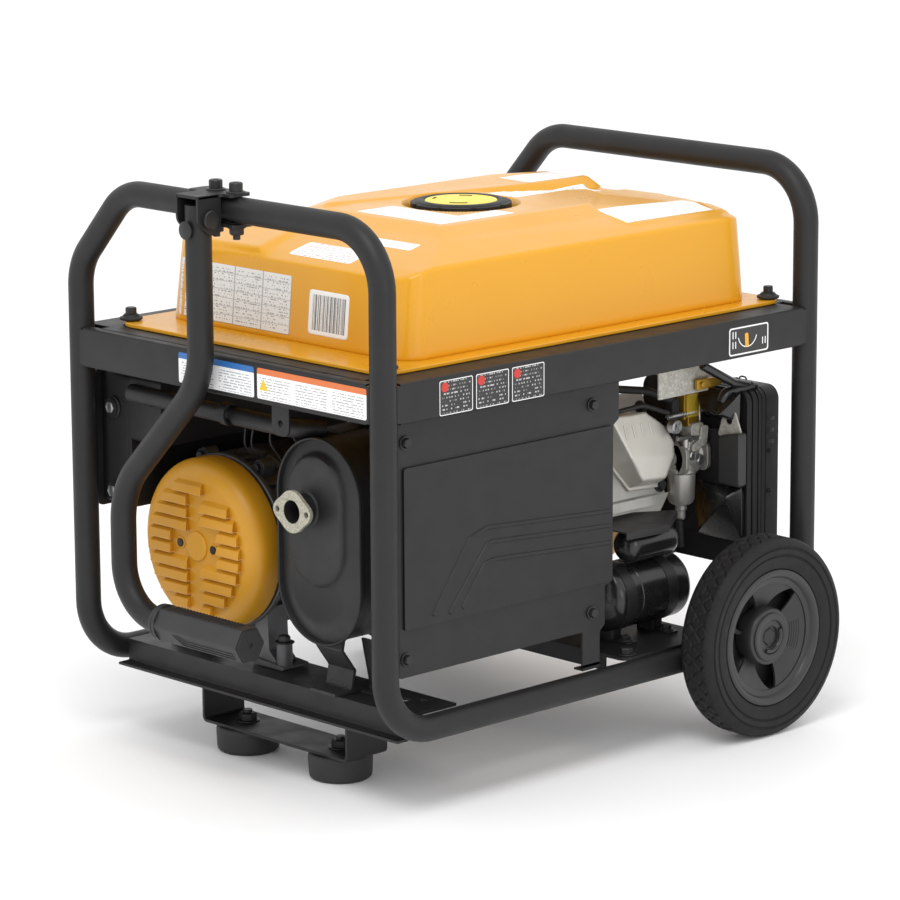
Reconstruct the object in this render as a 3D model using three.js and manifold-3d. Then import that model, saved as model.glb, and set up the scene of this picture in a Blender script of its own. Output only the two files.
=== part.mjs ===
// A portable generator: open tube frame, fuel tank on top, engine and alternator on a cross deck,
// two wheels at the engine end, two rubber feet and a folding tow handle at the alternator end.
// Millimetres, +Z up. X runs along the frame, +X towards the wheels, -Y towards the heat shield.
import * as THREE from "three";
import { ConvexGeometry } from "three/addons/geometries/ConvexGeometry.js";
import { mergeVertices } from "three/addons/utils/BufferGeometryUtils.js";
import Module from "manifold-3d";

const wasm = await Module();
wasm.setup();

// ---------------------------------------------------------------- driving dimensions
const GAP = 0.3; // left between pieces that touch
const SHEET = 2; // folded frame sheet
const TUBE_R = 12.7;
const POST_X = 292.5; // tube centre lines of the four posts
const POST_Y = 217.5;
const HOOP_TOP_Z = 560.5;
const LOWER_RAIL_Z = 83.7;
const HOOP_FOOT_Z = 160; // where a hoop meets the bent ends of the lower rails
const FRAME_BEND_R = 57;
const RAIL_Z = [381.3, 420.3]; // upper rails
const RAIL_PROUD = 10.3; // rail face outside the post centre line
const DECK_Z = LOWER_RAIL_Z + TUBE_R + GAP; // what rests on the lower rails
const ORIGIN_X = 17.2; // puts the origin under the middle of the whole object

const FOOT = { x: -213.5, y: 68, r: 31.7, top: 26 };
const WHEEL = { x: 190, r: 101.5, outer: 275, inner: 234, rim: 66, axle: 6 };
const HANDLE = { x: -321, y: 4.5, pinZ: 553.6, lowY: 125, gripZ: 150, gripEnd: -61, gripStart: 70 };
const CRANK = { y: 80, z: 214 }; // one line through alternator, engine and starter
const CYLINDER_SLANT = THREE.MathUtils.degToRad(18);
const MUFFLER = { y: -88, z: 246, r: 59, half: 42.5, x: [-262, -52] };
const OUTLET = { x: -283, y: -79, z: 277 };
const CAP = { x: 20, y: 0, z: 520.5, r: 51, well: 56 };
const ENGINE_X = 134; // middle of the engine block
const CANISTER = { x: [52, 186], y: -150, z: 143, r: 34 };
const CARBURETTOR = { x: 195.3, y: -122, z: 262 };
const SHIELD_Y = -214;
const PANEL_Y = 222; // face of the control panel
const AIR_BOX = { x: 240.6, y: [-188, -42], z: [150, 334], base: 22, depth: 50 };
const PANEL = { x: [-268, 24], y: [174, PANEL_Y], z: [238, 372] };
const SWITCH = { x: -30, z: 330 };
const BREAKERS = [[-78, 330], [-54, 330]];
const DUPLEX = { x: -222, z: 306 };
const LOCKING = { x: -120, z: 290 };
const TANK_BOLTS = [[-257, -184], [274, -184], [274, 184], [-257, 184]];

// ---------------------------------------------------------------- materials
const material = (color, roughness, metalness = 0) =>
  new THREE.MeshStandardMaterial({ color, roughness, metalness });
const frameBlack = material(0x3a3a3b, 0.55);
const blackMetal = material(0x2a2a2b, 0.6);
const tankYellow = material(0xf0a632, 0.35);
const coverYellow = material(0xe79a22, 0.5);
const castAluminium = material(0xb9b8b2, 0.45, 0.8);
const zinc = material(0xc9c6ba, 0.4, 0.8);
const steel = material(0x8d8e90, 0.35, 1);
const blackPlastic = material(0x222223, 0.55);
const rubber = material(0x1b1b1b, 0.85);
const brass = material(0xb8923c, 0.35, 1);
const copper = material(0x8a4a2b, 0.5, 0.6);
const white = material(0xe8e8e4, 0.5);
const red = material(0xb3201c, 0.45);

// ---------------------------------------------------------------- shape helpers
function solid(geometry) {
  const bare = geometry.index ? geometry.toNonIndexed() : geometry.clone();
  for (const name of Object.keys(bare.attributes)) {
    if (name !== "position") bare.deleteAttribute(name);
  }
  const merged = mergeVertices(bare, 1e-4);
  return new wasm.Manifold(
    new wasm.Mesh({
      numProp: 3,
      vertProperties: new Float32Array(merged.attributes.position.array),
      triVerts: new Uint32Array(merged.index.array),
    }),
  );
}

function geometryOf(made) {
  const mesh = made.getMesh();
  const geometry = new THREE.BufferGeometry();
  geometry.setAttribute("position", new THREE.BufferAttribute(mesh.vertProperties, 3));
  geometry.setIndex(new THREE.BufferAttribute(mesh.triVerts, 1));
  geometry.computeVertexNormals();
  return geometry;
}

const join = (...pieces) => pieces.reduce((whole, piece) => whole.add(piece));
const cut = (body, ...tools) => tools.reduce((rest, tool) => rest.subtract(tool), body);

function box([x0, x1], [y0, y1], [z0, z1]) {
  const geometry = new THREE.BoxGeometry(x1 - x0, y1 - y0, z1 - z0);
  geometry.translate((x0 + x1) / 2, (y0 + y1) / 2, (z0 + z1) / 2);
  return solid(geometry);
}

// A turned solid: profile is [radius, height] pairs from the axis back to the axis, or a closed ring.
// axis "x", "y" or "z" is the direction that height runs in, from the point at.
function turned(profile, axis, at, sides = 24) {
  const points = profile.map(([r, h]) => new THREE.Vector2(r, h));
  const geometry = new THREE.LatheGeometry(points, sides);
  geometry.rotateX(Math.PI / 2);
  if (axis === "x") geometry.rotateY(Math.PI / 2);
  if (axis === "y") geometry.rotateX(-Math.PI / 2);
  geometry.translate(...at);
  const made = solid(geometry);
  if (made.volume() >= 0) return made;
  geometry.index.array.reverse();
  return solid(geometry);
}

const rod = (r, axis, at, length, sides = 16) =>
  turned([[0, 0], [r, 0], [r, length], [0, length]], axis, at, sides);
const hex = (r, axis, at, length) => rod(r, axis, at, length, 6);
const ring = (outer, inner, axis, at, length, sides = 24) =>
  turned([[inner, 0], [outer, 0], [outer, length], [inner, length], [inner, 0]], axis, at, sides);

const hull = (points) => solid(new ConvexGeometry(points.map((p) => new THREE.Vector3(...p))));

// A flat outline in the plane across an axis, thickened along it. Outline points are (u, v):
// (y, z) across x, (x, z) across y and (x, y) across z.
function plate(outline, axis, from, to, holes = []) {
  const shape = new THREE.Shape(outline.map(([u, v]) => new THREE.Vector2(u, v)));
  for (const hole of holes) shape.holes.push(new THREE.Path(hole.map(([u, v]) => new THREE.Vector2(u, v))));
  const geometry = new THREE.ExtrudeGeometry(shape, { depth: to - from, bevelEnabled: false });
  const turn = new THREE.Matrix4();
  if (axis === "x") turn.set(0, 0, 1, from, 1, 0, 0, 0, 0, 1, 0, 0, 0, 0, 0, 1);
  if (axis === "y") turn.set(1, 0, 0, 0, 0, 0, -1, to, 0, 1, 0, 0, 0, 0, 0, 1);
  if (axis === "z") turn.set(1, 0, 0, 0, 0, 1, 0, 0, 0, 0, 1, from, 0, 0, 0, 1);
  geometry.applyMatrix4(turn);
  return solid(geometry);
}

function circle(cu, cv, r, count = 16) {
  return Array.from({ length: count }, (_, i) => {
    const a = (i / count) * 2 * Math.PI;
    return [cu + r * Math.cos(a), cv + r * Math.sin(a)];
  });
}

// An outline drawn about the origin, turned by the angle a and moved to (cu, cv).
const turnedOutline = (outline, a, cu, cv) =>
  outline.map(([u, v]) => [
    cu + u * Math.cos(a) - v * Math.sin(a),
    cv + u * Math.sin(a) + v * Math.cos(a),
  ]);

// A rectangle with round corners, as an outline.
function roundBox([u0, u1], [v0, v1], r, steps = 4) {
  const centres = [[u1 - r, v1 - r], [u0 + r, v1 - r], [u0 + r, v0 + r], [u1 - r, v0 + r]];
  return centres.flatMap(([cu, cv], quarter) =>
    Array.from({ length: steps + 1 }, (_, i) => {
      const a = (quarter + i / steps) * (Math.PI / 2);
      return [cu + r * Math.cos(a), cv + r * Math.sin(a)];
    }),
  );
}

// The points of a tube's centre line: straight runs through the corners, each corner an arc.
function bentLine(corners, radii, steps = 6) {
  const points = [corners[0]];
  for (let i = 1; i < corners.length - 1; i += 1) {
    const back = corners[i - 1].clone().sub(corners[i]).normalize();
    const on = corners[i + 1].clone().sub(corners[i]).normalize();
    const half = Math.acos(THREE.MathUtils.clamp(back.dot(on), -1, 1)) / 2;
    const r = radii[i - 1];
    const centre = corners[i].clone().addScaledVector(back.clone().add(on).normalize(), r / Math.sin(half));
    const from = corners[i].clone().addScaledVector(back, r / Math.tan(half)).sub(centre);
    const to = corners[i].clone().addScaledVector(on, r / Math.tan(half)).sub(centre);
    const sweep = from.angleTo(to);
    const across = new THREE.Vector3().crossVectors(from, to).normalize();
    for (let s = 0; s <= steps; s += 1) {
      points.push(from.clone().applyAxisAngle(across, (sweep * s) / steps).add(centre));
    }
  }
  points.push(corners[corners.length - 1]);
  return points;
}

// A curve that ExtrudeGeometry steps along vertex by vertex.
class PointPath extends THREE.Curve {
  constructor(points) {
    super();
    this.points = points;
  }
  getPoint(t, target = new THREE.Vector3()) {
    return target.copy(this.points[Math.round(t * (this.points.length - 1))]);
  }
  getPointAt(u, target) {
    return this.getPoint(u, target);
  }
  getTangentAt(u, target = new THREE.Vector3()) {
    const i = Math.round(u * (this.points.length - 1));
    const before = this.points[Math.max(i - 1, 0)];
    const after = this.points[Math.min(i + 1, this.points.length - 1)];
    const here = this.points[i];
    const into = here.clone().sub(before).normalize();
    return target.copy(after.clone().sub(here).normalize().add(into).normalize());
  }
}

function tube(corners, radii, r, sides = 12, steps = 6) {
  const points = bentLine(corners.map((p) => new THREE.Vector3(...p)), radii, steps);
  const section = new THREE.Shape(circle(0, 0, r, sides).map(([u, v]) => new THREE.Vector2(u, v)));
  const extrudePath = new PointPath(points);
  return solid(new THREE.ExtrudeGeometry(section, { steps: points.length - 1, extrudePath }));
}

const part = new THREE.Group();
part.name = "portable_generator";
part.position.x = ORIGIN_X;

function add(name, made, look) {
  const mesh = new THREE.Mesh(geometryOf(made), look);
  mesh.name = name;
  part.add(mesh);
}

// ---------------------------------------------------------------- frame
// A hoop: two posts, one tight corner on the shield side and a chamfered corner on the panel side.
function hoop(x) {
  const corners = [
    [x, -POST_Y, HOOP_FOOT_Z],
    [x, -POST_Y, HOOP_TOP_Z],
    [x, 145.6, HOOP_TOP_Z],
    [x, POST_Y, 482],
    [x, POST_Y, HOOP_FOOT_Z],
  ];
  return tube(corners, [FRAME_BEND_R, FRAME_BEND_R, FRAME_BEND_R], TUBE_R);
}

// A lower rail with its two ends bent up to meet the hoops.
function lowerRail(y) {
  const top = HOOP_FOOT_Z - GAP;
  const corners = [
    [-POST_X, y, top],
    [-POST_X, y, LOWER_RAIL_Z],
    [POST_X, y, LOWER_RAIL_Z],
    [POST_X, y, top],
  ];
  return tube(corners, [FRAME_BEND_R, FRAME_BEND_R], TUBE_R, 12, 7);
}

// A folded channel section, open inwards: face outside, a wide flange on top, a lip below.
// depth runs inwards from the face; side is -1 or 1 for the face's direction.
function railSection(face, side, flange, lip) {
  const [z0, z1] = RAIL_Z;
  const inward = (d) => face - side * d;
  return [
    [face, z0],
    [inward(lip), z0],
    [inward(lip), z0 + SHEET],
    [inward(SHEET), z0 + SHEET],
    [inward(SHEET), z1 - SHEET],
    [inward(flange), z1 - SHEET],
    [inward(flange), z1],
    [face, z1],
  ];
}

function addFrame() {
  add("left_hoop", hoop(-POST_X), frameBlack);
  add("right_hoop", hoop(POST_X), frameBlack);
  add("front_lower_rail", lowerRail(-POST_Y), frameBlack);
  add("back_lower_rail", lowerRail(POST_Y), frameBlack);
  const reachX = POST_X - TUBE_R - GAP;
  const reachY = POST_Y - TUBE_R - GAP;
  for (const [name, side] of [["front_upper_rail", -1], ["back_upper_rail", 1]]) {
    const section = railSection(side * (POST_Y + RAIL_PROUD), side, 38, 13);
    add(name, plate(section, "x", -reachX, reachX), frameBlack);
  }
  for (const [name, side] of [["left_upper_rail", -1], ["right_upper_rail", 1]]) {
    const section = railSection(side * (POST_X + RAIL_PROUD), side, 38, 13);
    const rail = plate(section, "y", -reachY, reachY);
    const corner = [POST_Y + RAIL_PROUD - 38 - GAP, POST_Y];
    const clear = [-1, 1].map((end) => {
      const xs = [side * (reachX + GAP), side * 240].sort((a, b) => a - b);
      const ys = corner.map((y) => end * y).sort((a, b) => a - b);
      return box(xs, ys, [RAIL_Z[0] - 1, RAIL_Z[1] + 1]);
    });
    add(name, cut(rail, ...clear), frameBlack);
  }
}

// The beams across the bottom, between the lower rails.
function addBeams() {
  const reach = POST_Y - TUBE_R - GAP;
  const [low, high] = [71, 95.5];
  const beam = [
    [-266, low],
    [-250, low],
    [-250, high - 2.5],
    [-188, high - 2.5],
    [-188, high],
    [-252.5, high],
    [-252.5, low + 2.5],
    [-266, low + 2.5],
  ];
  add("left_cross_beam", plate(beam, "y", -reach, reach), frameBlack);
  const deck = roundBox([30, 165], [-POST_Y, POST_Y], 8, 2);
  add("engine_deck", plate(deck, "z", DECK_Z, DECK_Z + 3), frameBlack);
}

function addFeet() {
  const { x, y, r, top } = FOOT;
  const wide = 106.5;
  const bracket = [
    [-wide, top],
    [wide, top],
    [wide, 70.5],
    [wide - 3, 70.5],
    [wide - 3, top + 3],
    [-wide + 3, top + 3],
    [-wide + 3, 70.5],
    [-wide, 70.5],
  ];
  const bolts = [-y, y].map((at) => hex(9, "z", [x, at, top + 2], 9));
  add("foot_bracket", join(plate(bracket, "x", x - 26.5, x + 26.5), ...bolts), frameBlack);
  for (const [name, side] of [["front_foot", -1], ["back_foot", 1]]) {
    const profile = [[0, 0], [r - 2, 0], [r, 2], [r, top - GAP], [0, top - GAP]];
    add(name, turned(profile, "z", [x, side * y, 0], 28), rubber);
  }
}

// ---------------------------------------------------------------- wheels
function addWheel(name, side) {
  const { x, r, outer, inner, rim, axle } = WHEEL;
  const width = outer - inner;
  const base = [x, side < 0 ? -outer : inner, r];
  // Heights run from -outer towards the frame, or from the frame outwards on the far side.
  const from = (d) => (side < 0 ? d : width - d);
  const ringOf = (profile) => turned(profile.map(([pr, d]) => [pr, from(d)]), "y", base, 28);
  const tyre = [
    [rim + 0.3, 4], [rim + 4, 2], [rim + 16, 0], [r - 5, 1], [r, 6],
    [r, width - 6], [r - 5, width - 1], [rim + 16, width], [rim + 0.3, width - 3], [rim + 0.3, 4],
  ];
  add(`${name}_tyre`, ringOf(tyre), rubber);
  const bore = axle + 0.4;
  const rimProfile = [
    [bore, 12], [13, 12], [13, 5], [21, 5], [21, 11], [56, 17], [59, 4],
    [rim, 4], [rim, width - 4], [59, width - 4], [56, 23], [21, 21], [21, width], [bore, width], [bore, 12],
  ];
  const windows = Array.from({ length: 5 }, (_, i) => {
    const petal = [[30, -13], [53, -10], [54, 12], [40, 15], [32, 4]];
    const outline = turnedOutline(petal, (i / 5) * 2 * Math.PI + 0.3, x, r);
    return plate(outline, "y", side < 0 ? -outer - 1 : inner - 1, side < 0 ? -inner + 1 : outer + 1);
  });
  add(`${name}_rim`, cut(ringOf(rimProfile), ...windows), blackPlastic);
  const y0 = POST_Y - 10;
  const y1 = inner - 4;
  const ys = side < 0 ? [-y1, -y0] : [y0, y1];
  const block = box([x - 24, x + 24], ys, [DECK_Z, r + 12]);
  const shaftEnd = outer - 11.4;
  const shaftAt = side < 0 ? -shaftEnd : y1 - 1;
  const shaft = rod(axle, "y", [x, shaftAt, r], shaftEnd - y1 + 1, 20);
  const head = hex(10, "y", [x, side < 0 ? -shaftEnd - 5.8 : shaftEnd - 0.2, r], 6);
  add(`${name}_axle`, join(block, shaft, head), steel);
}

// ---------------------------------------------------------------- heat shield on the -Y side
function addHeatShield() {
  const y = SHIELD_Y;
  const sheet = [
    [-271, 136.5], [-26, 136.5], [-26, 97.2], [-2, 97.2], [-2, 133], [5, 139], [5, 178],
    [16, 181], [16, 336], [24, 342], [24, 392], [-271, 392],
  ];
  const field = roundBox([-262, 13], [182, 337], 3, 1);
  const raised = plate(field, "y", y - 3, y + 0.5);
  const bolts = [[-256, 361], [-9, 361], [-258, 154], [-9, 154]].map(([x, z]) =>
    hex(6.5, "y", [x, y - 6, z], 6.5),
  );
  const strap = box([-26, -2], [y, y + 12], [97.2, 100.2]);
  add("heat_shield", join(plate(sheet, "y", y, y + 2), raised, strap, ...bolts), frameBlack);
}

// ---------------------------------------------------------------- folding handle
function addHandle() {
  const { x, y, pinZ, lowY, gripZ, gripEnd, gripStart } = HANDLE;
  const hoopX = -POST_X;
  const topZ = HOOP_TOP_Z + TUBE_R + GAP;
  const cheek = [[x - 14, topZ], [x - 14, pinZ - 8], [x - 6, pinZ - 17], [x + 8, pinZ - 17]];
  cheek.push([hoopX - TUBE_R - 1, pinZ - 10], [hoopX - TUBE_R - 1, topZ]);
  const pinHole = circle(x, pinZ, 4.3, 12);
  const cheeks = [y - 16, y + 13.5].map((at) => plate(cheek, "y", at, at + 2.5, [pinHole]));
  const tongue = box([x - 14, hoopX + 13], [y - 16, y + 16], [topZ, topZ + 3]);
  const wings = box([hoopX - 13, hoopX + 13], [y - 30, y + 33], [topZ, topZ + 3]);
  const heads = [y - 22, y + 7].map((at) =>
    join(rod(8, "z", [hoopX, at, topZ + 2.5], 1.8), hex(6.5, "z", [hoopX, at, topZ + 4], 9)),
  );
  add("handle_bracket", join(tongue, wings, ...cheeks, ...heads), frameBlack);
  const under = HOOP_TOP_Z - TUBE_R - GAP;
  const clamp = box([hoopX - 12, hoopX + 13], [y - 32, y + 30], [under - 3, under]);
  const nuts = [y - 22, y + 7].map((at) =>
    join(hex(7, "z", [hoopX, at, under - 11], 9), rod(3.5, "z", [hoopX, at, under - 17], 7, 10)),
  );
  add("bracket_clamp", join(clamp, ...nuts), frameBlack);
  const pin = join(
    rod(9, "y", [x, y - 20.5, pinZ], 4.2, 20),
    rod(4, "y", [x, y - 17, pinZ], 36, 12),
    rod(7, "y", [x, y + 16.3, pinZ], 3, 16),
  );
  add("pivot_pin", pin, steel);

  const corners = [
    [x, y, pinZ + 14],
    [x, y, 395],
    [x, lowY, 274.5],
    [x, lowY, gripZ],
    [x, gripEnd + 6, gripZ],
  ];
  const whole = tube(corners, [80, 80, 50], TUBE_R, 12, 5);
  const crown = box([x - 20, x + 20], [y - 20, y + 20], [pinZ, pinZ + 20]);
  const rounding = rod(15.2, "y", [x, y - 21, pinZ], 42, 20);
  const eye = rod(4.3, "y", [x, y - 20, pinZ], 40, 12);
  const lockHole = rod(3.3, "x", [x - 20, y, pinZ - 10.5], 40, 10);
  add("handle_tube", cut(whole, crown.subtract(rounding), eye, lockHole), frameBlack);

  const button = join(
    rod(8.7, "x", [x - 17.7, y, pinZ - 10.5], 2, 20),
    rod(2.9, "x", [x - 16, y, pinZ - 10.5], 28.2, 10),
  );
  add("lock_button", button, steel);

  const length = gripStart - gripEnd;
  const body = rod(20.5, "y", [x, gripEnd, gripZ], length - 6, 6);
  const collar = rod(18.6, "y", [x, gripStart - 7, gripZ], 7, 16);
  const bore = rod(TUBE_R + 2 * GAP, "y", [x, gripEnd + 6 - GAP, gripZ], length, 12);
  add("handle_grip", cut(join(body, collar), bore), rubber);
}

// ---------------------------------------------------------------- fuel tank
// A pressed steel tank: a pan between the upper rails, a flange on top of them, and a shell whose
// walls fold into slopes that rise to a plateau round the cap. A nose stands at the handle end, a
// ridge along the back, a deck at the wheel end, and a shallow valley runs between the last two.
function tankRoof() {
  const foot = roundBox([-222, 262], [-176, 176], 28, 3).map(([x, y]) => [x, y, 424]);
  const fold = [-1, 1].flatMap((side) => [
    [-215, side * 143, 500], [-206, side * 164, 503], [-188, side * 171, 509.5],
    [228, side * 171, 511], [249, side * 164, 509], [257, side * 143, 508],
  ]);
  const slopes = [[-126, -123, 524], [238, -123, 522], [238, 125, 524], [-126, 125, 524]];
  const plateau = hull([
    [-130, -127, 522.7], [95, -132, 520], [185, -18, 524], [70, 62, 523], [-130, 110, 522.7],
    [-100, -98, 531.5], [104, -96, 531.5], [168, -46, 531.5], [174, -24, 531.5], [105, -22, 531.5],
    [78, 40, 531.5], [-50, 72, 531.5], [-100, 70, 531.5],
  ]);
  const ridge = hull([
    [-118, 70, 524], [-60, 66, 526], [120, 26, 524], [242, 18, 523], [248, 120, 520], [-80, 140, 518],
    [-84, 84, 534], [-46, 109, 534], [169, 108, 534], [236, 92, 532], [237, 34, 533], [137, 36, 534],
    [-60, 80, 534],
  ]);
  const deck = hull([
    [92, -142, 508], [180, -20, 508], [246, -20, 508], [250, -150, 508],
    [96, -141, 519.5], [112, -100, 528], [160, -52, 530], [180, -30, 529.5], [228, -25, 526],
    [246, -60, 523], [249, -130, 519], [246, -154, 515.5], [110, -154, 517],
  ]);
  const nose = hull([
    [-214, 20, 496], [-214, 150, 496], [-150, 50, 508], [-110, 150, 508],
    [-211, 44, 509], [-211, 143, 507], [-200, 164, 505], [-163, 54, 517], [-112, 120, 526], [-118, 60, 527],
  ]);
  return join(hull([...foot, ...fold, ...slopes]), plateau, ridge, deck, nose);
}

function addTank() {
  const flange = [
    [-270, -172], [-262, -192], [-236, -195], [258, -195], [280, -192], [286, -172],
    [286, 172], [280, 192], [258, 195], [-236, 195], [-262, 192], [-270, 172],
  ];
  const flangeZ = RAIL_Z[1] + GAP;
  const panFloor = 372;
  const rim = plate(flange, "z", flangeZ, flangeZ + 4);
  const pan = plate(roundBox([-244, 258], [-172, 172], 26, 3), "z", panFloor, flangeZ + 2);
  const inside = join(
    plate(roundBox([-241, 255], [-169, 169], 24, 2), "z", panFloor + 3, flangeZ + 1),
    hull([
      [-217, -170, 418], [256, -170, 418], [256, 170, 418], [-217, 170, 418],
      [-208, -160, 495], [248, -162, 503], [248, 162, 503], [-208, 160, 495],
    ]),
  );
  const neck = rod(24, "z", [CAP.x, CAP.y, 500], CAP.z - 500, 28);
  const mouth = rod(20, "z", [CAP.x, CAP.y, 490], 40, 28);
  const boltHoles = TANK_BOLTS.map(([x, y]) => rod(4.3, "z", [x, y, flangeZ - 1], 8, 12));
  const capWell = rod(CAP.well, "z", [CAP.x, CAP.y, CAP.z], 30, 36);
  const shell = cut(join(rim, pan, tankRoof(), neck), inside, mouth, capWell, ...boltHoles);
  add("fuel_tank", shell, tankYellow);
}

function addTankBolts() {
  const flangeTop = RAIL_Z[1] + GAP + 4;
  const profile = [[0, 0], [11.5, 0], [11.5, 3], [8, 6], [0, 6]];
  TANK_BOLTS.forEach(([x, y], i) => {
    const washer = turned(profile, "z", [x, y, flangeTop + GAP], 14);
    const shank = rod(3.9, "z", [x, y, RAIL_Z[1] + 0.5], 8, 10);
    add(`tank_bolt_${i + 1}`, join(washer, hex(6.4, "z", [x, y, flangeTop + 5], 9), shank), rubber);
  });
}

function addFuelCap() {
  const { x, y, z, r } = CAP;
  const [lip, height] = [7.5, 11];
  const profile = [[15, 0], [19.2, 0], [19.2, lip], [32, lip], [32, height], [15, height], [15, 0]];
  const gasket = turned(profile, "z", [x, y, z + GAP - lip], 24);
  add("cap_gasket", gasket, rubber);
  const under = z + height - lip + 2 * GAP;
  const rim = Array.from({ length: 36 }, (_, i) => {
    const a = (i / 36) * 2 * Math.PI;
    const flute = i % 4 === 0 ? r - 2.5 : r;
    return [x + flute * Math.cos(a), y + flute * Math.sin(a)];
  });
  const skirt = plate(rim, "z", z + 0.8, z + 15);
  const hollow = rod(38, "z", [x, y, z], under - z, 24);
  const stem = rod(14, "z", [x, y, z - 6], under - z + 8, 24);
  const dish = ring(39, 36, "z", [x, y, z + 13.5], 3, 24);
  add("fuel_cap", cut(join(cut(skirt, hollow), stem), dish), blackPlastic);
}

// ---------------------------------------------------------------- muffler and exhaust
function stadium(y, z, r, half, steps = 7) {
  const arc = (cz, start) =>
    Array.from({ length: steps + 1 }, (_, i) => {
      const a = start + (i / steps) * Math.PI;
      return [y + r * Math.cos(a), cz + r * Math.sin(a)];
    });
  return [...arc(z + half, 0), ...arc(z - half, Math.PI)];
}

function addMuffler() {
  const { y, z, r, half, x } = MUFFLER;
  const body = plate(stadium(y, z, r - 2, half), "x", x[0] + 5, x[1]);
  const seams = [x[0] + 4, x[1] - 6].map((at) => plate(stadium(y, z, r, half), "x", at, at + 5));
  const crown = hull([
    ...stadium(y, z, r - 3, half, 5).map(([u, v]) => [x[0] + 4.5, u, v]),
    ...stadium(y, z, r - 12, half, 5).map(([u, v]) => [x[0], u, v]),
  ]);
  const outletPipe = rod(15, "x", [OUTLET.x + 4, OUTLET.y, OUTLET.z], x[0] - OUTLET.x + 4, 20);
  const bore = rod(12, "x", [OUTLET.x - 1, OUTLET.y, OUTLET.z], 40, 20);
  const inletPipe = rod(14, "x", [x[1] - 2, y - 12, z + 14], 90, 16);
  const belly = z - half - r + 14;
  const web = [[y - 22, DECK_Z - GAP], [y + 22, DECK_Z - GAP], [y + 30, belly], [y - 30, belly]];
  const leg = plate(web, "x", x[0] + 16, x[0] + 19);
  const pad = box([x[0] + 16, x[0] + 42], [y - 22, y + 22], [DECK_Z - GAP, DECK_Z - GAP + 3]);
  const shell = join(body, crown, ...seams, outletPipe, inletPipe, leg, pad);
  const lobes = Array.from({ length: 20 }, (_, i) => {
    const a = (i / 20) * 2 * Math.PI;
    const reach = 19.5 + 8 * Math.cos(a) ** 6;
    return [OUTLET.y + reach * Math.cos(a), OUTLET.z + reach * Math.sin(a)];
  });
  const holes = [circle(OUTLET.y - 20.5, OUTLET.z, 3, 10), circle(OUTLET.y + 20.5, OUTLET.z, 3, 10)];
  holes.push(circle(OUTLET.y, OUTLET.z, 12, 20));
  const flange = plate(lobes, "x", OUTLET.x, OUTLET.x + 4.2, holes);
  add("muffler", join(cut(shell, bore), flange), blackMetal);
}

// ---------------------------------------------------------------- alternator
function addAlternator() {
  const { y, z } = CRANK;
  const at = (x) => [x, y, z];
  const face = -267;
  const dish = [
    [0, 0], [74, 0], [81, 3], [85, 9], [86, 16], [86, 35],
    [83, 35], [83, 17], [78, 6], [72, 3], [0, 3], [0, 0],
  ];
  const shell = turned(dish, "x", at(face), 28);
  const louvres = [-1, 1].flatMap((side) =>
    Array.from({ length: 9 }, (_, i) => {
      const v = z + 52 - i * 13;
      const reach = Math.min(64, Math.sqrt(70 ** 2 - (v - z) ** 2));
      const inner = Math.abs(v - z) < 16 ? 34 : 9;
      const [u0, u1] = [y + side * inner, y + side * reach].sort((a, b) => a - b);
      return hull([
        [face + 1, u0, v + 5], [face + 1, u1, v + 5], [face + 1, u0, v - 5], [face + 1, u1, v - 5],
        [face - 4, u0 + 2, v - 5], [face - 4, u1 - 2, v - 5],
        [face - 4, u0 + 2, v - 3], [face - 4, u1 - 2, v - 3],
      ]);
    }),
  );
  const boss = rod(14, "x", at(face - 2), 4, 20);
  add("alternator_end_cover", join(shell, boss, ...louvres), coverYellow);

  const left = -231.5;
  const drum = [
    [66, 0], [85, 0], [87, 2], [87, 6], [82, 8], [82, 36], [87, 40], [87, 150], [82, 154],
    [82, 218], [92, 222], [92, 262], [88, 262], [88, 226], [66, 214], [66, 0],
  ];
  const housing = turned(drum, "x", at(left), 24);
  const windows = circle(y, z, 42, 4).map(([u, v]) => rod(15, "x", [left - 1, u, v], 10, 10));
  const bell = cut(rod(67, "x", at(left), 6, 30), rod(18, "x", at(left - 1), 10, 20), ...windows);
  const feet = [-1, 1].map((side) => {
    const span = (inner, outer) => [y + side * inner, y + side * outer].sort((a, b) => a - b);
    const leg = box([left + 7, left + 31], span(38, 62), [DECK_Z, z - 55]);
    return join(leg, box([left, left + 38], span(34, 74), [DECK_Z, 108]));
  });
  add("alternator_housing", join(housing, bell, ...feet), castAluminium);
}

function addCrankLine() {
  const { y, z } = CRANK;
  const at = (x) => [x, y, z];
  const shaft = [
    [0, 0], [10, 0], [10, 22], [30, 24], [30, 40], [61, 44], [61, 150], [50, 156], [50, 176],
    [22, 180], [22, 200], [12, 204], [12, 440], [0, 440],
  ];
  const rotor = turned(shaft, "x", at(-222), 20);
  const vanes = Array.from({ length: 8 }, (_, i) => {
    const vane = [[55, -2], [88, -2], [88, 2], [55, 2]];
    return plate(turnedOutline(vane, (i / 8) * 2 * Math.PI, y, z), "x", 222, 238);
  });
  const disc = rod(90, "x", at(206), 18, 24);
  add("rotor_and_flywheel", join(rotor, disc, ...vanes), steel);
}

// ---------------------------------------------------------------- engine
// Turns a point given along the slanted cylinder, (along, across, up), into the frame.
function slanted([x, along, up]) {
  const c = Math.cos(CYLINDER_SLANT);
  const s = Math.sin(CYLINDER_SLANT);
  return [x, CRANK.y - along * c + up * s, CRANK.z + along * s + up * c];
}
const slantedBlock = ([x0, x1], [a0, a1], [u0, u1]) =>
  hull([x0, x1].flatMap((x) => [a0, a1].flatMap((a) => [u0, u1].map((u) => slanted([x, a, u])))));

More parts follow.
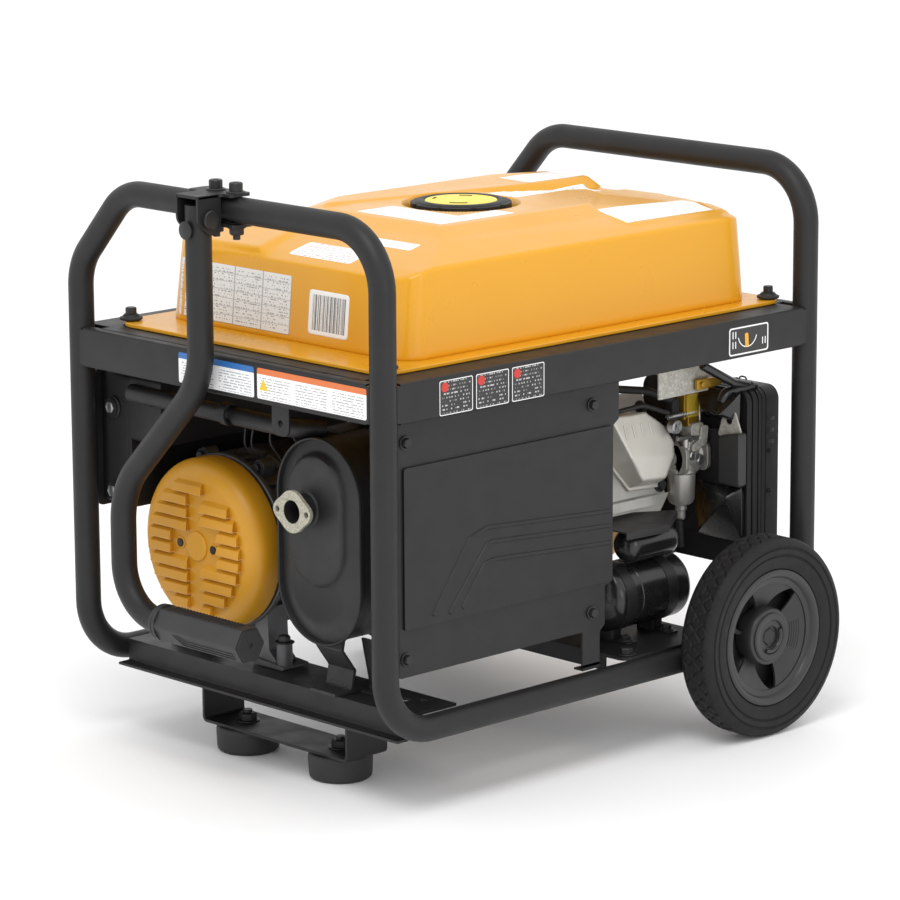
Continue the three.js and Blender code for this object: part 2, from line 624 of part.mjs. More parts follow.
function addEngine() {
  const { y, z } = CRANK;
  const mid = ENGINE_X;
  const foot = DECK_Z + 3 + GAP;
  const fillerX = mid + 40;
  const fillerZ = 128;
  const profile = [
    [y - 74, foot + 9], [y - 74, z + 30], [y - 46, z + 66], [y + 40, z + 66], [y + 78, z + 20],
    [y + 78, foot + 9], [y + 88, foot + 9], [y + 88, foot], [y - 84, foot], [y - 84, foot + 9],
  ];
  const block = plate(profile, "x", mid - 62, mid + 62);
  const collar = rod(60, "x", [32, y, z], mid - 62 - 32 + 1, 30);
  const shaftWay = rod(13.5, "x", [20, y, z], 200, 24);
  const filler = rod(13, "y", [fillerX, y + 70, fillerZ], 16, 18);
  const fillerHole = rod(10, "y", [fillerX, y + 60, fillerZ], 40, 18);
  const cavity = slantedBlock([mid - 36, mid + 36], [-40, 60], [-36, 36]);
  const made = cut(join(block, collar, filler), cavity, shaftWay, fillerHole);
  const plug = rod(9.5, "y", [fillerX, y + 62, fillerZ], 26, 18);
  const lid = rod(14, "y", [fillerX, y + 86 + GAP, fillerZ], 8, 20);
  const wing = box([fillerX - 3, fillerX + 3], [y + 92, y + 102], [fillerZ - 10, fillerZ + 10]);
  add("oil_filler_cap", join(plug, lid, wing), blackPlastic);

  const fins = Array.from({ length: 6 }, (_, i) => {
    const a = 90 + i * 12;
    return slantedBlock([mid - 56, mid + 56], [a, a + 4], [-50, 52]);
  });
  const barrel = slantedBlock([mid - 46, mid + 46], [66, 160], [-44, 44]);
  add("crankcase", join(made, barrel, ...fins), castAluminium);
  const headFins = Array.from({ length: 3 }, (_, i) =>
    slantedBlock([mid - 58, mid + 58], [168 + i * 11, 172 + i * 11], [-54, 58]),
  );
  const head = slantedBlock([mid - 50, mid + 50], [160 + GAP, 199], [-48, 50]);
  const intake = rod(20, "x", [mid + 49, -104, CARBURETTOR.z], 12, 16);
  add("cylinder_head", join(head, ...headFins, intake), castAluminium);
  const cover = hull([
    ...[[-41, 199.3], [41, 199.3]].flatMap(([x, a]) => [-38, 46].map((u) => slanted([mid + x, a, u]))),
    ...[[-36, 232], [36, 232]].flatMap(([x, a]) => [-26, 40].map((u) => slanted([mid + x, a, u]))),
    slanted([mid - 40, 224, 42]), slanted([mid + 40, 224, 42]),
    slanted([mid - 40, 224, -34]), slanted([mid + 40, 224, -34]),
  ]);
  const skirt = slantedBlock([mid - 46, mid + 46], [199 + GAP, 204], [-43, 50]);
  add("rocker_cover", join(cover, skirt), zinc);
  const bootBase = slanted([mid - 30, 200, 66]);
  const lead = rod(6, "x", [bootBase[0], bootBase[1], bootBase[2] + 17], 26, 12);
  add("spark_plug_cap", join(rod(9, "z", bootBase, 24, 14), lead), blackPlastic);
}

function addCarburettor() {
  const { x: x0, y, z } = CARBURETTOR;
  const x1 = AIR_BOX.x - 8 - GAP;
  const body = join(
    rod(17, "x", [x0, y, z], x1 - x0, 18),
    box([x0, x0 + 6], [y - 26, y + 26], [z - 16, z + 16]),
    box([x1 - 6, x1], [y - 26, y + 26], [z - 16, z + 16]),
    box([x0 + 8, x1 - 8], [y - 18, y + 14], [z - 14, z + 20]),
  );
  const bowl = turned([[0, 0], [12, 0], [16, 4], [16.5, 43], [0, 43]], "z", [x0 + 18, y - 4, 210], 18);
  const drain = join(rod(5, "z", [x0 + 18, y - 4, 200], 12, 10), hex(6, "z", [x0 + 18, y - 4, 196], 5));
  const bore = rod(10, "x", [x0 - 1, y, z], 60, 16);
  const pivot = rod(3, "z", [x0 + 30, y - 8, z + 15], 12, 10);
  add("carburettor", cut(join(body, bowl, drain, pivot), bore), castAluminium);
  const leverEye = circle(x0 + 30, y - 8, 3.3, 10);
  const arm = [
    [x0 + 2, y + 16], [x0 + 8, y + 20], [x0 + 24, y + 2],
    [x0 + 36, y - 2], [x0 + 36, y - 14], [x0 + 24, y - 14],
  ];
  const lever = plate(arm, "z", z + 20.5, z + 22.5, [leverEye]);
  const knob = box([x0 + 1, x0 + 9], [y + 14, y + 22], [z + 20.5, z + 34]);
  add("choke_lever", join(lever, knob), blackPlastic);
}

function addAirCleaner() {
  const { x, y, z, base: wallTo, depth } = AIR_BOX;
  const outline = roundBox(y, z, 14, 3);
  const inner = roundBox([y[0] + 3, y[1] - 3], [z[0] + 3, z[1] - 3], 12, 3);
  const base = plate(outline, "x", x, x + 3);
  const wall = plate(outline, "x", x, x + wallTo, [inner]);
  const duct = box([x - 8, x + 3], [-150, -94], [236, 280]);
  const inlet = rod(11, "x", [x - 9, CARBURETTOR.y, CARBURETTOR.z], 20, 18);
  const foot = box([x - 26, x], [-92, -56], [150, 160]);
  add("air_cleaner_base", cut(join(base, wall, duct, foot), inlet), blackPlastic);
  const lid = join(
    plate(outline, "x", x + wallTo + GAP, x + depth, [inner]),
    plate(outline, "x", x + depth - 3, x + depth),
  );
  const vents = [29, 40, 51].map((below) =>
    box([x + 32, x + 42], [y[0] - 1, y[0] + 4], [z[1] - below - 7, z[1] - below]),
  );
  const clips = [z[0] + 40, z[1] - 40].map((at) =>
    box([x + 24, x + 46], [y[1] - 0.5, y[1] + 3], [at - 9, at + 9]),
  );
  add("air_cleaner_cover", cut(join(lid, ...clips), ...vents), blackPlastic);
  const pad = roundBox([y[0] + 10, y[1] - 10], [z[0] + 10, z[1] - 10], 12, 2);
  add("air_filter", plate(pad, "x", x + 4, x + 40), copper);
}

function addStarter() {
  const { y, z } = CRANK;
  const at = (x) => [x, y, z];
  const bowl = [
    [100, 0], [100, 4], [110, 4], [110, 44], [102, 57], [46, 59],
    [46, 62], [104, 60], [114, 46], [114, 8], [108, 0], [100, 0],
  ];
  add("fan_shroud", turned(bowl, "x", at(197), 24), coverYellow);
  const dome = [
    [0, 0], [0, 3], [14, 3], [14, 10], [60, 10], [72, 4], [84, -12], [84, -18],
    [80, -18], [80, -12], [70, 0], [60, 7], [18, 7], [18, 0], [0, 0],
  ];
  const cover = turned(dome, "x", at(277.5), 24);
  const slots = Array.from({ length: 8 }, (_, i) => {
    const slot = [[30, -7], [58, -10], [58, 10], [30, 7]];
    return plate(turnedOutline(slot, (i / 8) * 2 * Math.PI, y, z), "x", 276, 290);
  });
  add("recoil_cover", cut(cover, ...slots), blackPlastic);
  add("recoil_grip", rod(7, "y", [293, y + 4, z + 92], 52, 14), rubber);
}

function addCanister() {
  const { x, y, z, r } = CANISTER;
  const length = x[1] - x[0];
  const capsule = [
    [0, 0], [r - 14, 1], [r - 4, 7], [r, 16],
    [r, length - 16], [r - 4, length - 7], [r - 14, length - 1], [0, length],
  ];
  const body = turned(capsule, "x", [x[0], y, z], 18);
  const straps = [84, 142].map((at) => {
    const foot = box([at, at + 14], [y - 12, y + 12], [DECK_Z + 3 + GAP, z - r + 2]);
    return join(ring(r + 1.5, r - 2, "x", [at, y, z], 14, 18), foot);
  });
  const deflector = plate([[66, -186], [176, -150], [66, -112]], "z", 214, 215.5);
  const stay = box([66, 82], [y - 1, y + 1], [z + r - 2, 214.5]);
  add("vapour_canister", join(body, ...straps, stay, deflector), blackPlastic);
}

// ---------------------------------------------------------------- control panel on the +Y side
function addControlPanel() {
  const { x, y, z } = PANEL;
  const face = PANEL_Y;
  const shelf = box([x[0], x[1]], [128, y[0] + 1], [306, z[1]]);
  const hollow = join(
    box([x[0] + 3, x[1] - 3], [y[0] + 3, face], [z[0] + 3, z[1] - 3]),
    box([x[0] + 3, x[1] - 3], [131, y[0] + 4], [309, z[1] - 3]),
  );
  const mounts = [252, 337].map((at) => rod(8, "x", [x[0] - 6, 200, at], 7, 16));
  const flange = join(...[x[0] - 8, x[1]].map((at) => box([at, at + 8], [face - 5, face - 2.5], z)));
  const shellBox = cut(join(box(x, [y[0], face - 2.5], z), shelf), hollow);
  add("control_box", join(shellBox, ...mounts, flange), blackPlastic);
}

function addPanelFace() {
  const face = PANEL_Y;
  const { x, z } = PANEL;
  const outline = roundBox([x[0] - 8, x[1] + 8], [z[0] - 4, z[1] + 2], 8, 3);
  const rect = (cx, cz, w, h) => roundBox([cx - w / 2, cx + w / 2], [cz - h / 2, cz + h / 2], 3, 1);
  const switchHole = roundBox([SWITCH.x - 8, SWITCH.x + 8], [SWITCH.z - 11.5, SWITCH.z + 11.5], 1, 1);
  const holes = [rect(DUPLEX.x, DUPLEX.z, 40, 74), circle(LOCKING.x, LOCKING.z, 27, 24), switchHole];
  for (const [bx, bz] of BREAKERS) holes.push(circle(bx, bz, 5.3, 14));
  add("control_panel_face", plate(outline, "y", face - 2.2, face, holes), blackMetal);

  const cx = DUPLEX.x;
  const duplex = plate(rect(cx, DUPLEX.z, 38.6, 72.6), "y", face - 22, face + 3);
  const slots = [DUPLEX.z - 18, DUPLEX.z + 18].flatMap((cz) => [
    box([cx - 8, cx - 6], [face - 12, face + 4], [cz - 4, cz + 4]),
    box([cx + 6, cx + 8], [face - 12, face + 4], [cz - 4, cz + 4]),
    rod(2.5, "y", [cx, face - 12, cz - 9], 16, 10),
  ]);
  add("duplex_outlet", cut(duplex, ...slots), blackPlastic);
  const lockSlots = circle(LOCKING.x, LOCKING.z, 14, 4).map(([u, v]) =>
    box([u - 1.5, u + 1.5], [face - 10, face + 6], [v - 5, v + 5]),
  );
  const locking = rod(26.4, "y", [LOCKING.x, face - 26, LOCKING.z], 31, 28);
  add("locking_outlet", cut(locking, ...lockSlots), blackPlastic);
  BREAKERS.forEach(([bx, bz], i) => {
    const button = join(rod(4.8, "y", [bx, face - 12, bz], 18, 14), rod(7, "y", [bx, face - 12, bz], 5, 14));
    add(`breaker_button_${i + 1}`, button, white);
  });
  const side = [[-8, -8], [-8, 8], [3, -9.5], [1.5, 0], [5.5, 9.5]];
  const rocker = [-7, 7].flatMap((dx) => side.map(([dy, dz]) => [SWITCH.x + dx, face + dy, SWITCH.z + dz]));
  add("engine_switch", hull(rocker), red);
}

// ---------------------------------------------------------------- fuel valve under the tank
function addFuelValve() {
  const [x, y] = [206, -150];
  const hanger = join(
    box([150, 222], [y - 1, y + 1], [334, 366]),
    box([150, 222], [y - 1, y + 14], [366, 371.6]),
  );
  const valve = join(rod(7, "z", [x, y + 14, 330], 42, 14), rod(9, "y", [x, y - 1, 342], 22, 14));
  const stub = rod(3, "y", [x, y - 9, 342], 10, 10);
  add("fuel_valve", join(hanger, valve, stub), zinc);
  const eye = circle(x, 342, 3.4, 10);
  const lever = plate([[x - 7, 336], [x + 30, 338], [x + 30, 346], [x - 7, 348]], "y", y - 7, y - 2.5, [eye]);
  add("fuel_valve_lever", lever, brass);
}

addFrame();
addBeams();
addFeet();
addWheel("front_wheel", -1);
addWheel("back_wheel", 1);
addHeatShield();
addHandle();
addTank();
addTankBolts();
addFuelCap();
addMuffler();
addAlternator();
addCrankLine();
addEngine();
addCarburettor();
addAirCleaner();
addStarter();
addCanister();
addControlPanel();
addPanelFace();
addFuelValve();

export default part;
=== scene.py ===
"""A portable generator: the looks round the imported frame.

Lengths inside the shape code are millimetres from the middle of the tube frame, with the floor at 0.
X runs along the frame towards the wheels, and -Y is the side with the heat shield.
"""
import math

import bmesh
import bpy
from mathutils import Matrix, Vector
from mathutils.bvhtree import BVHTree
from mathutils.geometry import tessellate_polygon


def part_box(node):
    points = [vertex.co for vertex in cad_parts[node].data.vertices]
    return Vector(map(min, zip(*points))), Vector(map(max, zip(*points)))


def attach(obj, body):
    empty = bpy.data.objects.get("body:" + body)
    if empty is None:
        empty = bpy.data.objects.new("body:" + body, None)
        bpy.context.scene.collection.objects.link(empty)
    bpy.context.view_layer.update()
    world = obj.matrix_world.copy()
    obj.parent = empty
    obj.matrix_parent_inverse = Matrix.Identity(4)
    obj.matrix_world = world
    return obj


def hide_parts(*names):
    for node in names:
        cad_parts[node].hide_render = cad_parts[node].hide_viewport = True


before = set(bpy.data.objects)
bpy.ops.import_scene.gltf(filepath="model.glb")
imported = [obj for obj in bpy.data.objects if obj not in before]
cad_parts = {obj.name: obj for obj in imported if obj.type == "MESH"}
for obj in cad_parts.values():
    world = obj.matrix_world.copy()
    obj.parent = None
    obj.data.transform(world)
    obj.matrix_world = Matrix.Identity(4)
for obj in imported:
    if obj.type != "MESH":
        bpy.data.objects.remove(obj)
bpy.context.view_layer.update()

MM = 0.001
MIDDLE = (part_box("left_hoop")[0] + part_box("right_hoop")[1]).x / 2
TO_FRAME = Matrix.Translation((MIDDLE, 0, 0)) @ Matrix.Scale(MM, 4)


class Room:
    """The box of some CAD nodes, in millimetres from the middle of the frame."""

    def __init__(self, *nodes):
        corners = [[TO_FRAME.inverted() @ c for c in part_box(n)] for n in nodes]
        self.x0, self.y0, self.z0 = (min(c[0][i] for c in corners) for i in range(3))
        self.x1, self.y1, self.z1 = (max(c[1][i] for c in corners) for i in range(3))
        self.x, self.y, self.z = (self.x0 + self.x1) / 2, (self.y0 + self.y1) / 2, (self.z0 + self.z1) / 2


# ---------------------------------------------------------------- camera, floor and lights
CAMERA_AT = Vector((-2.76794, -2.88365, 1.13927))
CAMERA_AZIMUTH, CAMERA_ELEVATION, CAMERA_ROLL = -44.03, 12.07, -0.295
CAMERA_LENS = 162.84
WORLD_STRENGTH = 1.06
FLOOR_REACH = 60


def add_camera():
    data = bpy.data.cameras.new("camera")
    data.lens = CAMERA_LENS
    camera = bpy.data.objects.new("camera", data)
    bpy.context.scene.collection.objects.link(camera)
    turn = Matrix.Rotation(math.radians(CAMERA_AZIMUTH), 4, "Z")
    tilt = Matrix.Rotation(math.radians(90 - CAMERA_ELEVATION), 4, "X")
    roll = Matrix.Rotation(math.radians(CAMERA_ROLL), 4, "Z")
    camera.matrix_world = Matrix.Translation(CAMERA_AT) @ turn @ tilt @ roll
    bpy.context.scene.camera = camera


def add_light(name, at, aim, size, power):
    data = bpy.data.lights.new(name, "AREA")
    data.shape = "DISK"
    data.size = size
    data.energy = power
    light = bpy.data.objects.new(name, data)
    bpy.context.scene.collection.objects.link(light)
    light.location = at
    light.rotation_euler = (Vector(aim) - Vector(at)).to_track_quat("-Z", "Y").to_euler()


def add_studio():
    bpy.context.scene.view_settings.view_transform = "Standard"
    world = bpy.data.worlds.new("studio")
    bpy.context.scene.world = world
    world.use_nodes = True
    sky = world.node_tree.nodes["Background"]
    sky.inputs["Color"].default_value = (1, 1, 1, 1)
    sky.inputs["Strength"].default_value = WORLD_STRENGTH
    add_light("key", (-1.6, -1.2, 3.2), (0, 0, 0.3), 1.6, 37)
    add_light("side", (-0.6, -3.4, 1.2), (0, 0, 0.3), 1.4, 10)
    floor = bpy.data.meshes.new("floor")
    corners = [(u * FLOOR_REACH, v * FLOOR_REACH, 0) for u, v in ((-1, -1), (1, -1), (1, 1), (-1, 1))]
    floor.from_pydata(corners, [], [(0, 1, 2, 3)])
    ground = bpy.data.objects.new("floor", floor)
    bpy.context.scene.collection.objects.link(ground)
    floor.materials.append(FLOOR_WHITE)


# ---------------------------------------------------------------- materials
def linear(code):
    """A #rrggbb colour as linear RGB with alpha."""
    parts = [int(code[i:i + 2], 16) / 255 for i in (1, 3, 5)]
    return tuple(c / 12.92 if c <= 0.04045 else ((c + 0.055) / 1.055) ** 2.4 for c in parts) + (1,)


class Nodes:
    """A material's node tree, with short ways to add and join nodes."""

    def __init__(self, name):
        self.material = bpy.data.materials.new(name)
        self.material.use_nodes = True
        self.tree = self.material.node_tree
        self.shader = self.tree.nodes["Principled BSDF"]

    def add(self, kind, links=None, **settings):
        node = self.tree.nodes.new(kind)
        for key, value in settings.items():
            if hasattr(node, key):
                setattr(node, key, value)
            else:
                node.inputs[key.replace("_", " ")].default_value = value
        for socket, source in (links or {}).items():
            self.tree.links.new(source, node.inputs[socket])
        return node.outputs

    def math(self, operation, a, b=0.0, c=0.0):
        node = self.tree.nodes.new("ShaderNodeMath")
        node.operation = operation
        for socket, value in zip(node.inputs, (a, b, c)):
            if isinstance(value, (int, float)):
                socket.default_value = value
            else:
                self.tree.links.new(value, socket)
        return node.outputs[0]

    def span(self, value, low, high, to_low, to_high):
        out = self.add("ShaderNodeMapRange", {"Value": value}, From_Min=low, From_Max=high)
        node = out[0].node
        node.inputs["To Min"].default_value = to_low
        node.inputs["To Max"].default_value = to_high
        return out[0]

    def mix(self, share, a, b):
        node = self.tree.nodes.new("ShaderNodeMix")
        node.data_type = "RGBA"
        for socket, value in ((node.inputs[0], share), (node.inputs[6], a), (node.inputs[7], b)):
            if isinstance(value, bpy.types.NodeSocket):
                self.tree.links.new(value, socket)
            else:
                socket.default_value = value
        return node.outputs[2]

    def noise(self, where, scale, detail=3.0, rough=0.5):
        out = self.add("ShaderNodeTexNoise", {"Vector": where}, Scale=scale, Detail=detail)
        out[0].node.inputs["Roughness"].default_value = rough
        return out[0]

    def set(self, socket, value):
        if isinstance(value, bpy.types.NodeSocket):
            self.tree.links.new(value, self.shader.inputs[socket])
        else:
            self.shader.inputs[socket].default_value = value


def shade(colour, factor):
    return tuple(min(1, c * factor) for c in colour[:3]) + (1,)


def finish(name, code, rough, metal=0.0, mottle=0.08, blotch=14, grain=900, depth=0.03, wear=0.0, coat=0.0,
           specks=None, specular=0.5):
    """A surface with cloudy colour, uneven gloss, a fine grain in its bump and paler worn edges."""
    made = Nodes(name)
    where = made.add("ShaderNodeTexCoord")["Object"]
    colour = linear(code)
    cloud = made.noise(where, blotch, 5.0, 0.6)
    tone = made.mix(made.span(cloud, 0.3, 0.7, 0, 1), shade(colour, 1 - mottle), shade(colour, 1 + mottle))
    fine = made.noise(where, grain, 2.0)
    if specks:
        spot = made.add("ShaderNodeTexVoronoi", {"Vector": where}, Scale=specks)["Color"]
        level = made.add("ShaderNodeSeparateColor", {"Color": spot})[0]
        tone = made.mix(made.span(level, 0.0, 1.0, 0.0, 0.55), tone, shade(colour, 0.45))
    if wear:
        edge = made.add("ShaderNodeNewGeometry")["Pointiness"]
        share = made.math("MULTIPLY", made.span(edge, 0.53, 0.62, 0, wear), made.span(fine, 0.35, 0.6, 0.4, 1))
        tone = made.mix(share, tone, shade(colour, 1.9))
    made.set("Base Color", tone)
    made.set("Roughness", made.span(made.noise(where, blotch * 3, 4.0), 0.3, 0.7, rough - 0.05, rough + 0.06))
    made.set("Metallic", metal)
    made.set("Specular IOR Level", specular)
    if coat:
        made.set("Coat Weight", coat)
        made.set("Coat Roughness", 0.12)
    bump = made.add("ShaderNodeBump", {"Height": fine}, Distance=depth * MM, Strength=1.0)
    made.set("Normal", bump["Normal"])
    return made.material


FLOOR_WHITE = finish("floor_white", "#fdfdfd", 0.7, mottle=0.004, grain=300, depth=0.0)
POWDER = finish("charcoal_powder_coat", "#1c1c1d", 0.48, mottle=0.06, grain=1300, depth=0.05, wear=0.25,
                specular=0.38)
TANK_PAINT = finish("tank_yellow_paint", "#de9e1a", 0.3, mottle=0.012, blotch=6, grain=260, depth=0.01, coat=0.2,
                    specular=0.4)
COVER_PAINT = finish("cover_yellow_plastic", "#c78d1c", 0.42, mottle=0.04, grain=1500, depth=0.04, wear=0.12)
# A paler copy of the cover colour for the louvre lips: painted highlight on the lit lip faces.
LIP_HIGHLIGHT_PAINT = finish("cover_lip_painted_highlight", "#dba562", 0.45, mottle=0.05, grain=1500, depth=0.04)
HEAT_BLACK = finish("heat_proof_black", "#1d1d1e", 0.5, mottle=0.12, blotch=22, grain=1400, depth=0.06, wear=0.2)
PLASTIC = finish("moulded_black_plastic", "#18181a", 0.5, mottle=0.06, grain=1100, depth=0.05, wear=0.12,
                 specular=0.35)
RIM_PLASTIC = finish("wheel_black_plastic", "#2a2a2b", 0.42, mottle=0.05, grain=1500, depth=0.03, wear=0.2)
CAP_YELLOW = finish("cap_yellow_plastic", "#f4dc2e", 0.35, mottle=0.02, blotch=30, grain=1200, depth=0.02)
GLOSS_PLASTIC = finish("glossy_black_plastic", "#1a1a1b", 0.25, mottle=0.05, grain=500, depth=0.02, coat=0.2)
TYRE = finish("tyre_rubber", "#161617", 0.68, mottle=0.08, blotch=30, grain=1700, depth=0.08, specular=0.35)
RUBBER = finish("black_rubber", "#232324", 0.62, mottle=0.08, grain=1200, depth=0.06, wear=0.15)
GRIP_RUBBER = finish("grip_rubber", "#29292a", 0.55, mottle=0.05, grain=1000, depth=0.08, wear=0.2)
CAST = finish("cast_aluminium", "#b9b8b3", 0.42, metal=0.75, mottle=0.08, blotch=40, grain=1600, depth=0.12)
DARK_CAST = finish("dark_cast_aluminium", "#5e5f60", 0.45, metal=0.7, mottle=0.15, blotch=40, grain=1600, depth=0.12)
ROCKER = finish("pressed_rocker_cover", "#cfccc4", 0.38, metal=0.55, mottle=0.05, blotch=30, grain=1500, depth=0.05)
ZINC = finish("galvanised_sheet", "#c9c8bf", 0.45, metal=0.35, mottle=0.12, blotch=260, grain=800, depth=0.04,
              specks=420)
GASKET = finish("speckled_flange", "#bdb9a8", 0.6, metal=0.4, mottle=0.1, blotch=120, grain=1000, depth=0.1,
                specks=700)
STEEL = finish("plated_steel", "#a7a8a9", 0.32, metal=0.9, mottle=0.08, blotch=60, grain=1500, depth=0.03)
DARK_STEEL = finish("blackened_bolt_steel", "#2b2b2c", 0.38, metal=0.4, mottle=0.12, blotch=60, grain=1500,
                    depth=0.05, wear=0.35)
BRASS = finish("passivated_brass", "#b89238", 0.35, metal=0.8, mottle=0.1, blotch=70, grain=1200, depth=0.04)
SOLENOID = finish("solenoid_yellow", "#b59a2e", 0.45, metal=0.1, mottle=0.08, blotch=60, grain=900, depth=0.04)
WHITE_PLASTIC = finish("white_plastic", "#dcdcd8", 0.45, mottle=0.03, grain=1200, depth=0.03)
RED_PLASTIC = finish("red_plastic", "#a81f1a", 0.35, mottle=0.05, grain=1200, depth=0.03)
FOAM = finish("filter_foam", "#5a3a28", 0.9, mottle=0.3, blotch=400, grain=500, depth=0.8)
COPPER = finish("winding_copper", "#8a4a2b", 0.4, metal=0.8, mottle=0.2, blotch=200, grain=900, depth=0.2)
WIRE_BLACK = finish("wire_sheath", "#1d1d1e", 0.5, mottle=0.05, grain=1500, depth=0.02)


def printed(name, ground, ink, rows, words, header=None, header_share=0.0, columns=1, lines=0.0, fill=0.52):
    """A sticker: a plain ground with rows of broken grey bars in columns, a coloured band on top and ruled lines.
    Its coordinates are the piece's own UV map, which runs 0 to 1 both ways."""
    made = Nodes(name)
    uv = made.add("ShaderNodeSeparateXYZ", {"Vector": made.add("ShaderNodeTexCoord")["UV"]})
    across, up = uv["X"], uv["Y"]
    paper = made.noise(made.add("ShaderNodeTexCoord")["Object"], 300, 2.0)
    tone = made.mix(paper, shade(linear(ground), 0.97), linear(ground))
    row = made.math("MULTIPLY", up, rows)
    cell = made.math("FRACT", made.math("MULTIPLY", across, columns))
    seed = made.add("ShaderNodeCombineXYZ", {
        "X": made.math("MULTIPLY", across, words), "Y": made.math("MULTIPLY", made.math("FLOOR", row), 7.31)})
    word = made.add("ShaderNodeTexNoise", {"Vector": seed[0]}, Scale=1.0, Detail=1.0)[0]
    inside_row = made.math("COMPARE", made.math("FRACT", row), 0.5, 0.2)
    inside_cell = made.math("COMPARE", cell, 0.5, 0.43)
    mark = made.math("MULTIPLY", made.math("GREATER_THAN", word, 1 - fill), inside_row)
    mark = made.math("MULTIPLY", mark, inside_cell)
    body = made.math("COMPARE", up, (1 - header_share) / 2, (1 - header_share) / 2 - 0.04)
    tone = made.mix(made.math("MULTIPLY", made.math("MULTIPLY", mark, body), 0.8), tone, linear(ink))
    if lines:
        edge = made.math("GREATER_THAN", made.math("ABSOLUTE", made.math("SUBTRACT", cell, 0.5)), 0.5 - lines)
        rule = made.math("LESS_THAN", made.math("FRACT", made.math("MULTIPLY", up, rows / 3)), 0.07)
        tone = made.mix(made.math("MULTIPLY", made.math("MAXIMUM", edge, rule), 0.6), tone, linear(ink))
    if header:
        band = made.math("GREATER_THAN", up, 1 - header_share)
        tone = made.mix(band, tone, linear(header))
    made.set("Base Color", tone)
    made.set("Roughness", made.span(paper, 0.3, 0.7, 0.34, 0.42))
    return made.material


def striped(name, ground, ink, pitch, slant=0.0, width=0.3, uneven=0.0):
    """A sticker with upright bars, slanted or uneven where asked."""
    made = Nodes(name)
    uv = made.add("ShaderNodeSeparateXYZ", {"Vector": made.add("ShaderNodeTexCoord")["UV"]})
    run = made.math("MULTIPLY", made.math("ADD", uv["X"], made.math("MULTIPLY", uv["Y"], slant)), pitch)
    if uneven:
        seed = made.add("ShaderNodeCombineXYZ", {"X": run})[0]
        bars = made.math("GREATER_THAN", made.add("ShaderNodeTexNoise", {"Vector": seed}, Scale=2.0)[0], 0.5)
    else:
        bars = made.math("LESS_THAN", made.math("FRACT", run), width)
    inside = made.math("MULTIPLY", made.math("COMPARE", uv["X"], 0.5, 0.42), made.math("COMPARE", uv["Y"], 0.5, 0.4))
    paper = made.noise(made.add("ShaderNodeTexCoord")["Object"], 300, 2.0)
    tone = made.mix(paper, shade(linear(ground), 0.97), linear(ground))
    made.set("Base Color", made.mix(made.math("MULTIPLY", bars, inside), tone, linear(ink)))
    made.set("Roughness", made.span(paper, 0.3, 0.7, 0.34, 0.42))
    return made.material


# ---------------------------------------------------------------- shape helpers
FACING = {
    "x": ((0, 1, 0), (0, 0, 1), (1, 0, 0)),
    "-x": ((0, -1, 0), (0, 0, 1), (-1, 0, 0)),
    "y": ((-1, 0, 0), (0, 0, 1), (0, 1, 0)),
    "-y": ((1, 0, 0), (0, 0, 1), (0, -1, 0)),
    "z": ((1, 0, 0), (0, 1, 0), (0, 0, 1)),
    "-z": ((1, 0, 0), (0, -1, 0), (0, 0, -1)),
}


def place(facing, at=(0, 0, 0), spin=0.0):
    """Turns local right, up and out into the frame, for something that faces that way and is seen from outside."""
    turn = Matrix(FACING[facing]).transposed().to_4x4()
    return Matrix.Translation(at) @ turn @ Matrix.Rotation(math.radians(spin), 4, "Z")


def circle(r, count=32, at=(0, 0)):
    steps = [2 * math.pi * i / count for i in range(count)]
    return [(at[0] + r * math.cos(a), at[1] + r * math.sin(a)) for a in steps]


def arc(r, first, last, steps, at=(0, 0)):
    """Points along part of a circle, between two angles in degrees."""
    angles = [math.radians(first + (last - first) * i / steps) for i in range(steps + 1)]
    return [(at[0] + r * math.cos(a), at[1] + r * math.sin(a)) for a in angles]


def rounded(u, v, r, steps=6):
    """A rectangle with round corners, from u[0] to u[1] and v[0] to v[1]."""
    centres = [(u[1] - r, v[1] - r), (u[0] + r, v[1] - r), (u[0] + r, v[0] + r), (u[1] - r, v[0] + r)]
    return [(cu + r * math.cos(a), cv + r * math.sin(a)) for quarter, (cu, cv) in enumerate(centres)
            for a in ((quarter + i / steps) * math.pi / 2 for i in range(steps + 1))]


def bend(corners, radii, steps=14):
    """The points of a line that runs straight between corners and round each inner one in an arc."""
    corners = [Vector(c) for c in corners]
    if isinstance(radii, (int, float)):
        radii = [radii] * (len(corners) - 2)
    points = [corners[0]]
    for before, corner, after, r in zip(corners, corners[1:], corners[2:], radii):
        back, on = (before - corner).normalized(), (after - corner).normalized()
        half = back.angle(on) / 2
        centre = corner + (back + on).normalized() * (r / math.sin(half))
        start, end = corner + back * (r / math.tan(half)), corner + on * (r / math.tan(half))
        first, last = start - centre, end - centre
        axis = first.cross(last).normalized()
        sweep_angle = first.angle(last)
        points += [centre + Matrix.Rotation(sweep_angle * i / steps, 3, axis) @ first for i in range(steps + 1)]
    return points + [corners[-1]]


def sweep(path, section, up=(0.13, 0.21, 1)):
    """A closed bar along a path. The section's points are (side, up) across it."""
    path = [Vector(p) for p in path]
    steps = [(b - a).normalized() for a, b in zip(path, path[1:])]
    heading = [steps[0]] + [(a + b).normalized() for a, b in zip(steps, steps[1:])] + [steps[-1]]
    side = heading[0].cross(Vector(up)).normalized()
    points, count = [], len(section)
    for at, ahead in zip(path, heading):
        side = (side - ahead * side.dot(ahead)).normalized()
        over = side.cross(ahead)
        points += [at + side * u + over * v for u, v in section]
    return points, skin(len(path), count)


def skin(rings, count):
    """The faces over rings of count points each, closed by a flat lid at each end."""
    faces = [(k * count + i, k * count + (i + 1) % count, (k + 1) * count + (i + 1) % count, (k + 1) * count + i)
             for k in range(rings - 1) for i in range(count)]
    last = (rings - 1) * count
    return faces + [tuple(range(count)), tuple(range(last, last + count))]


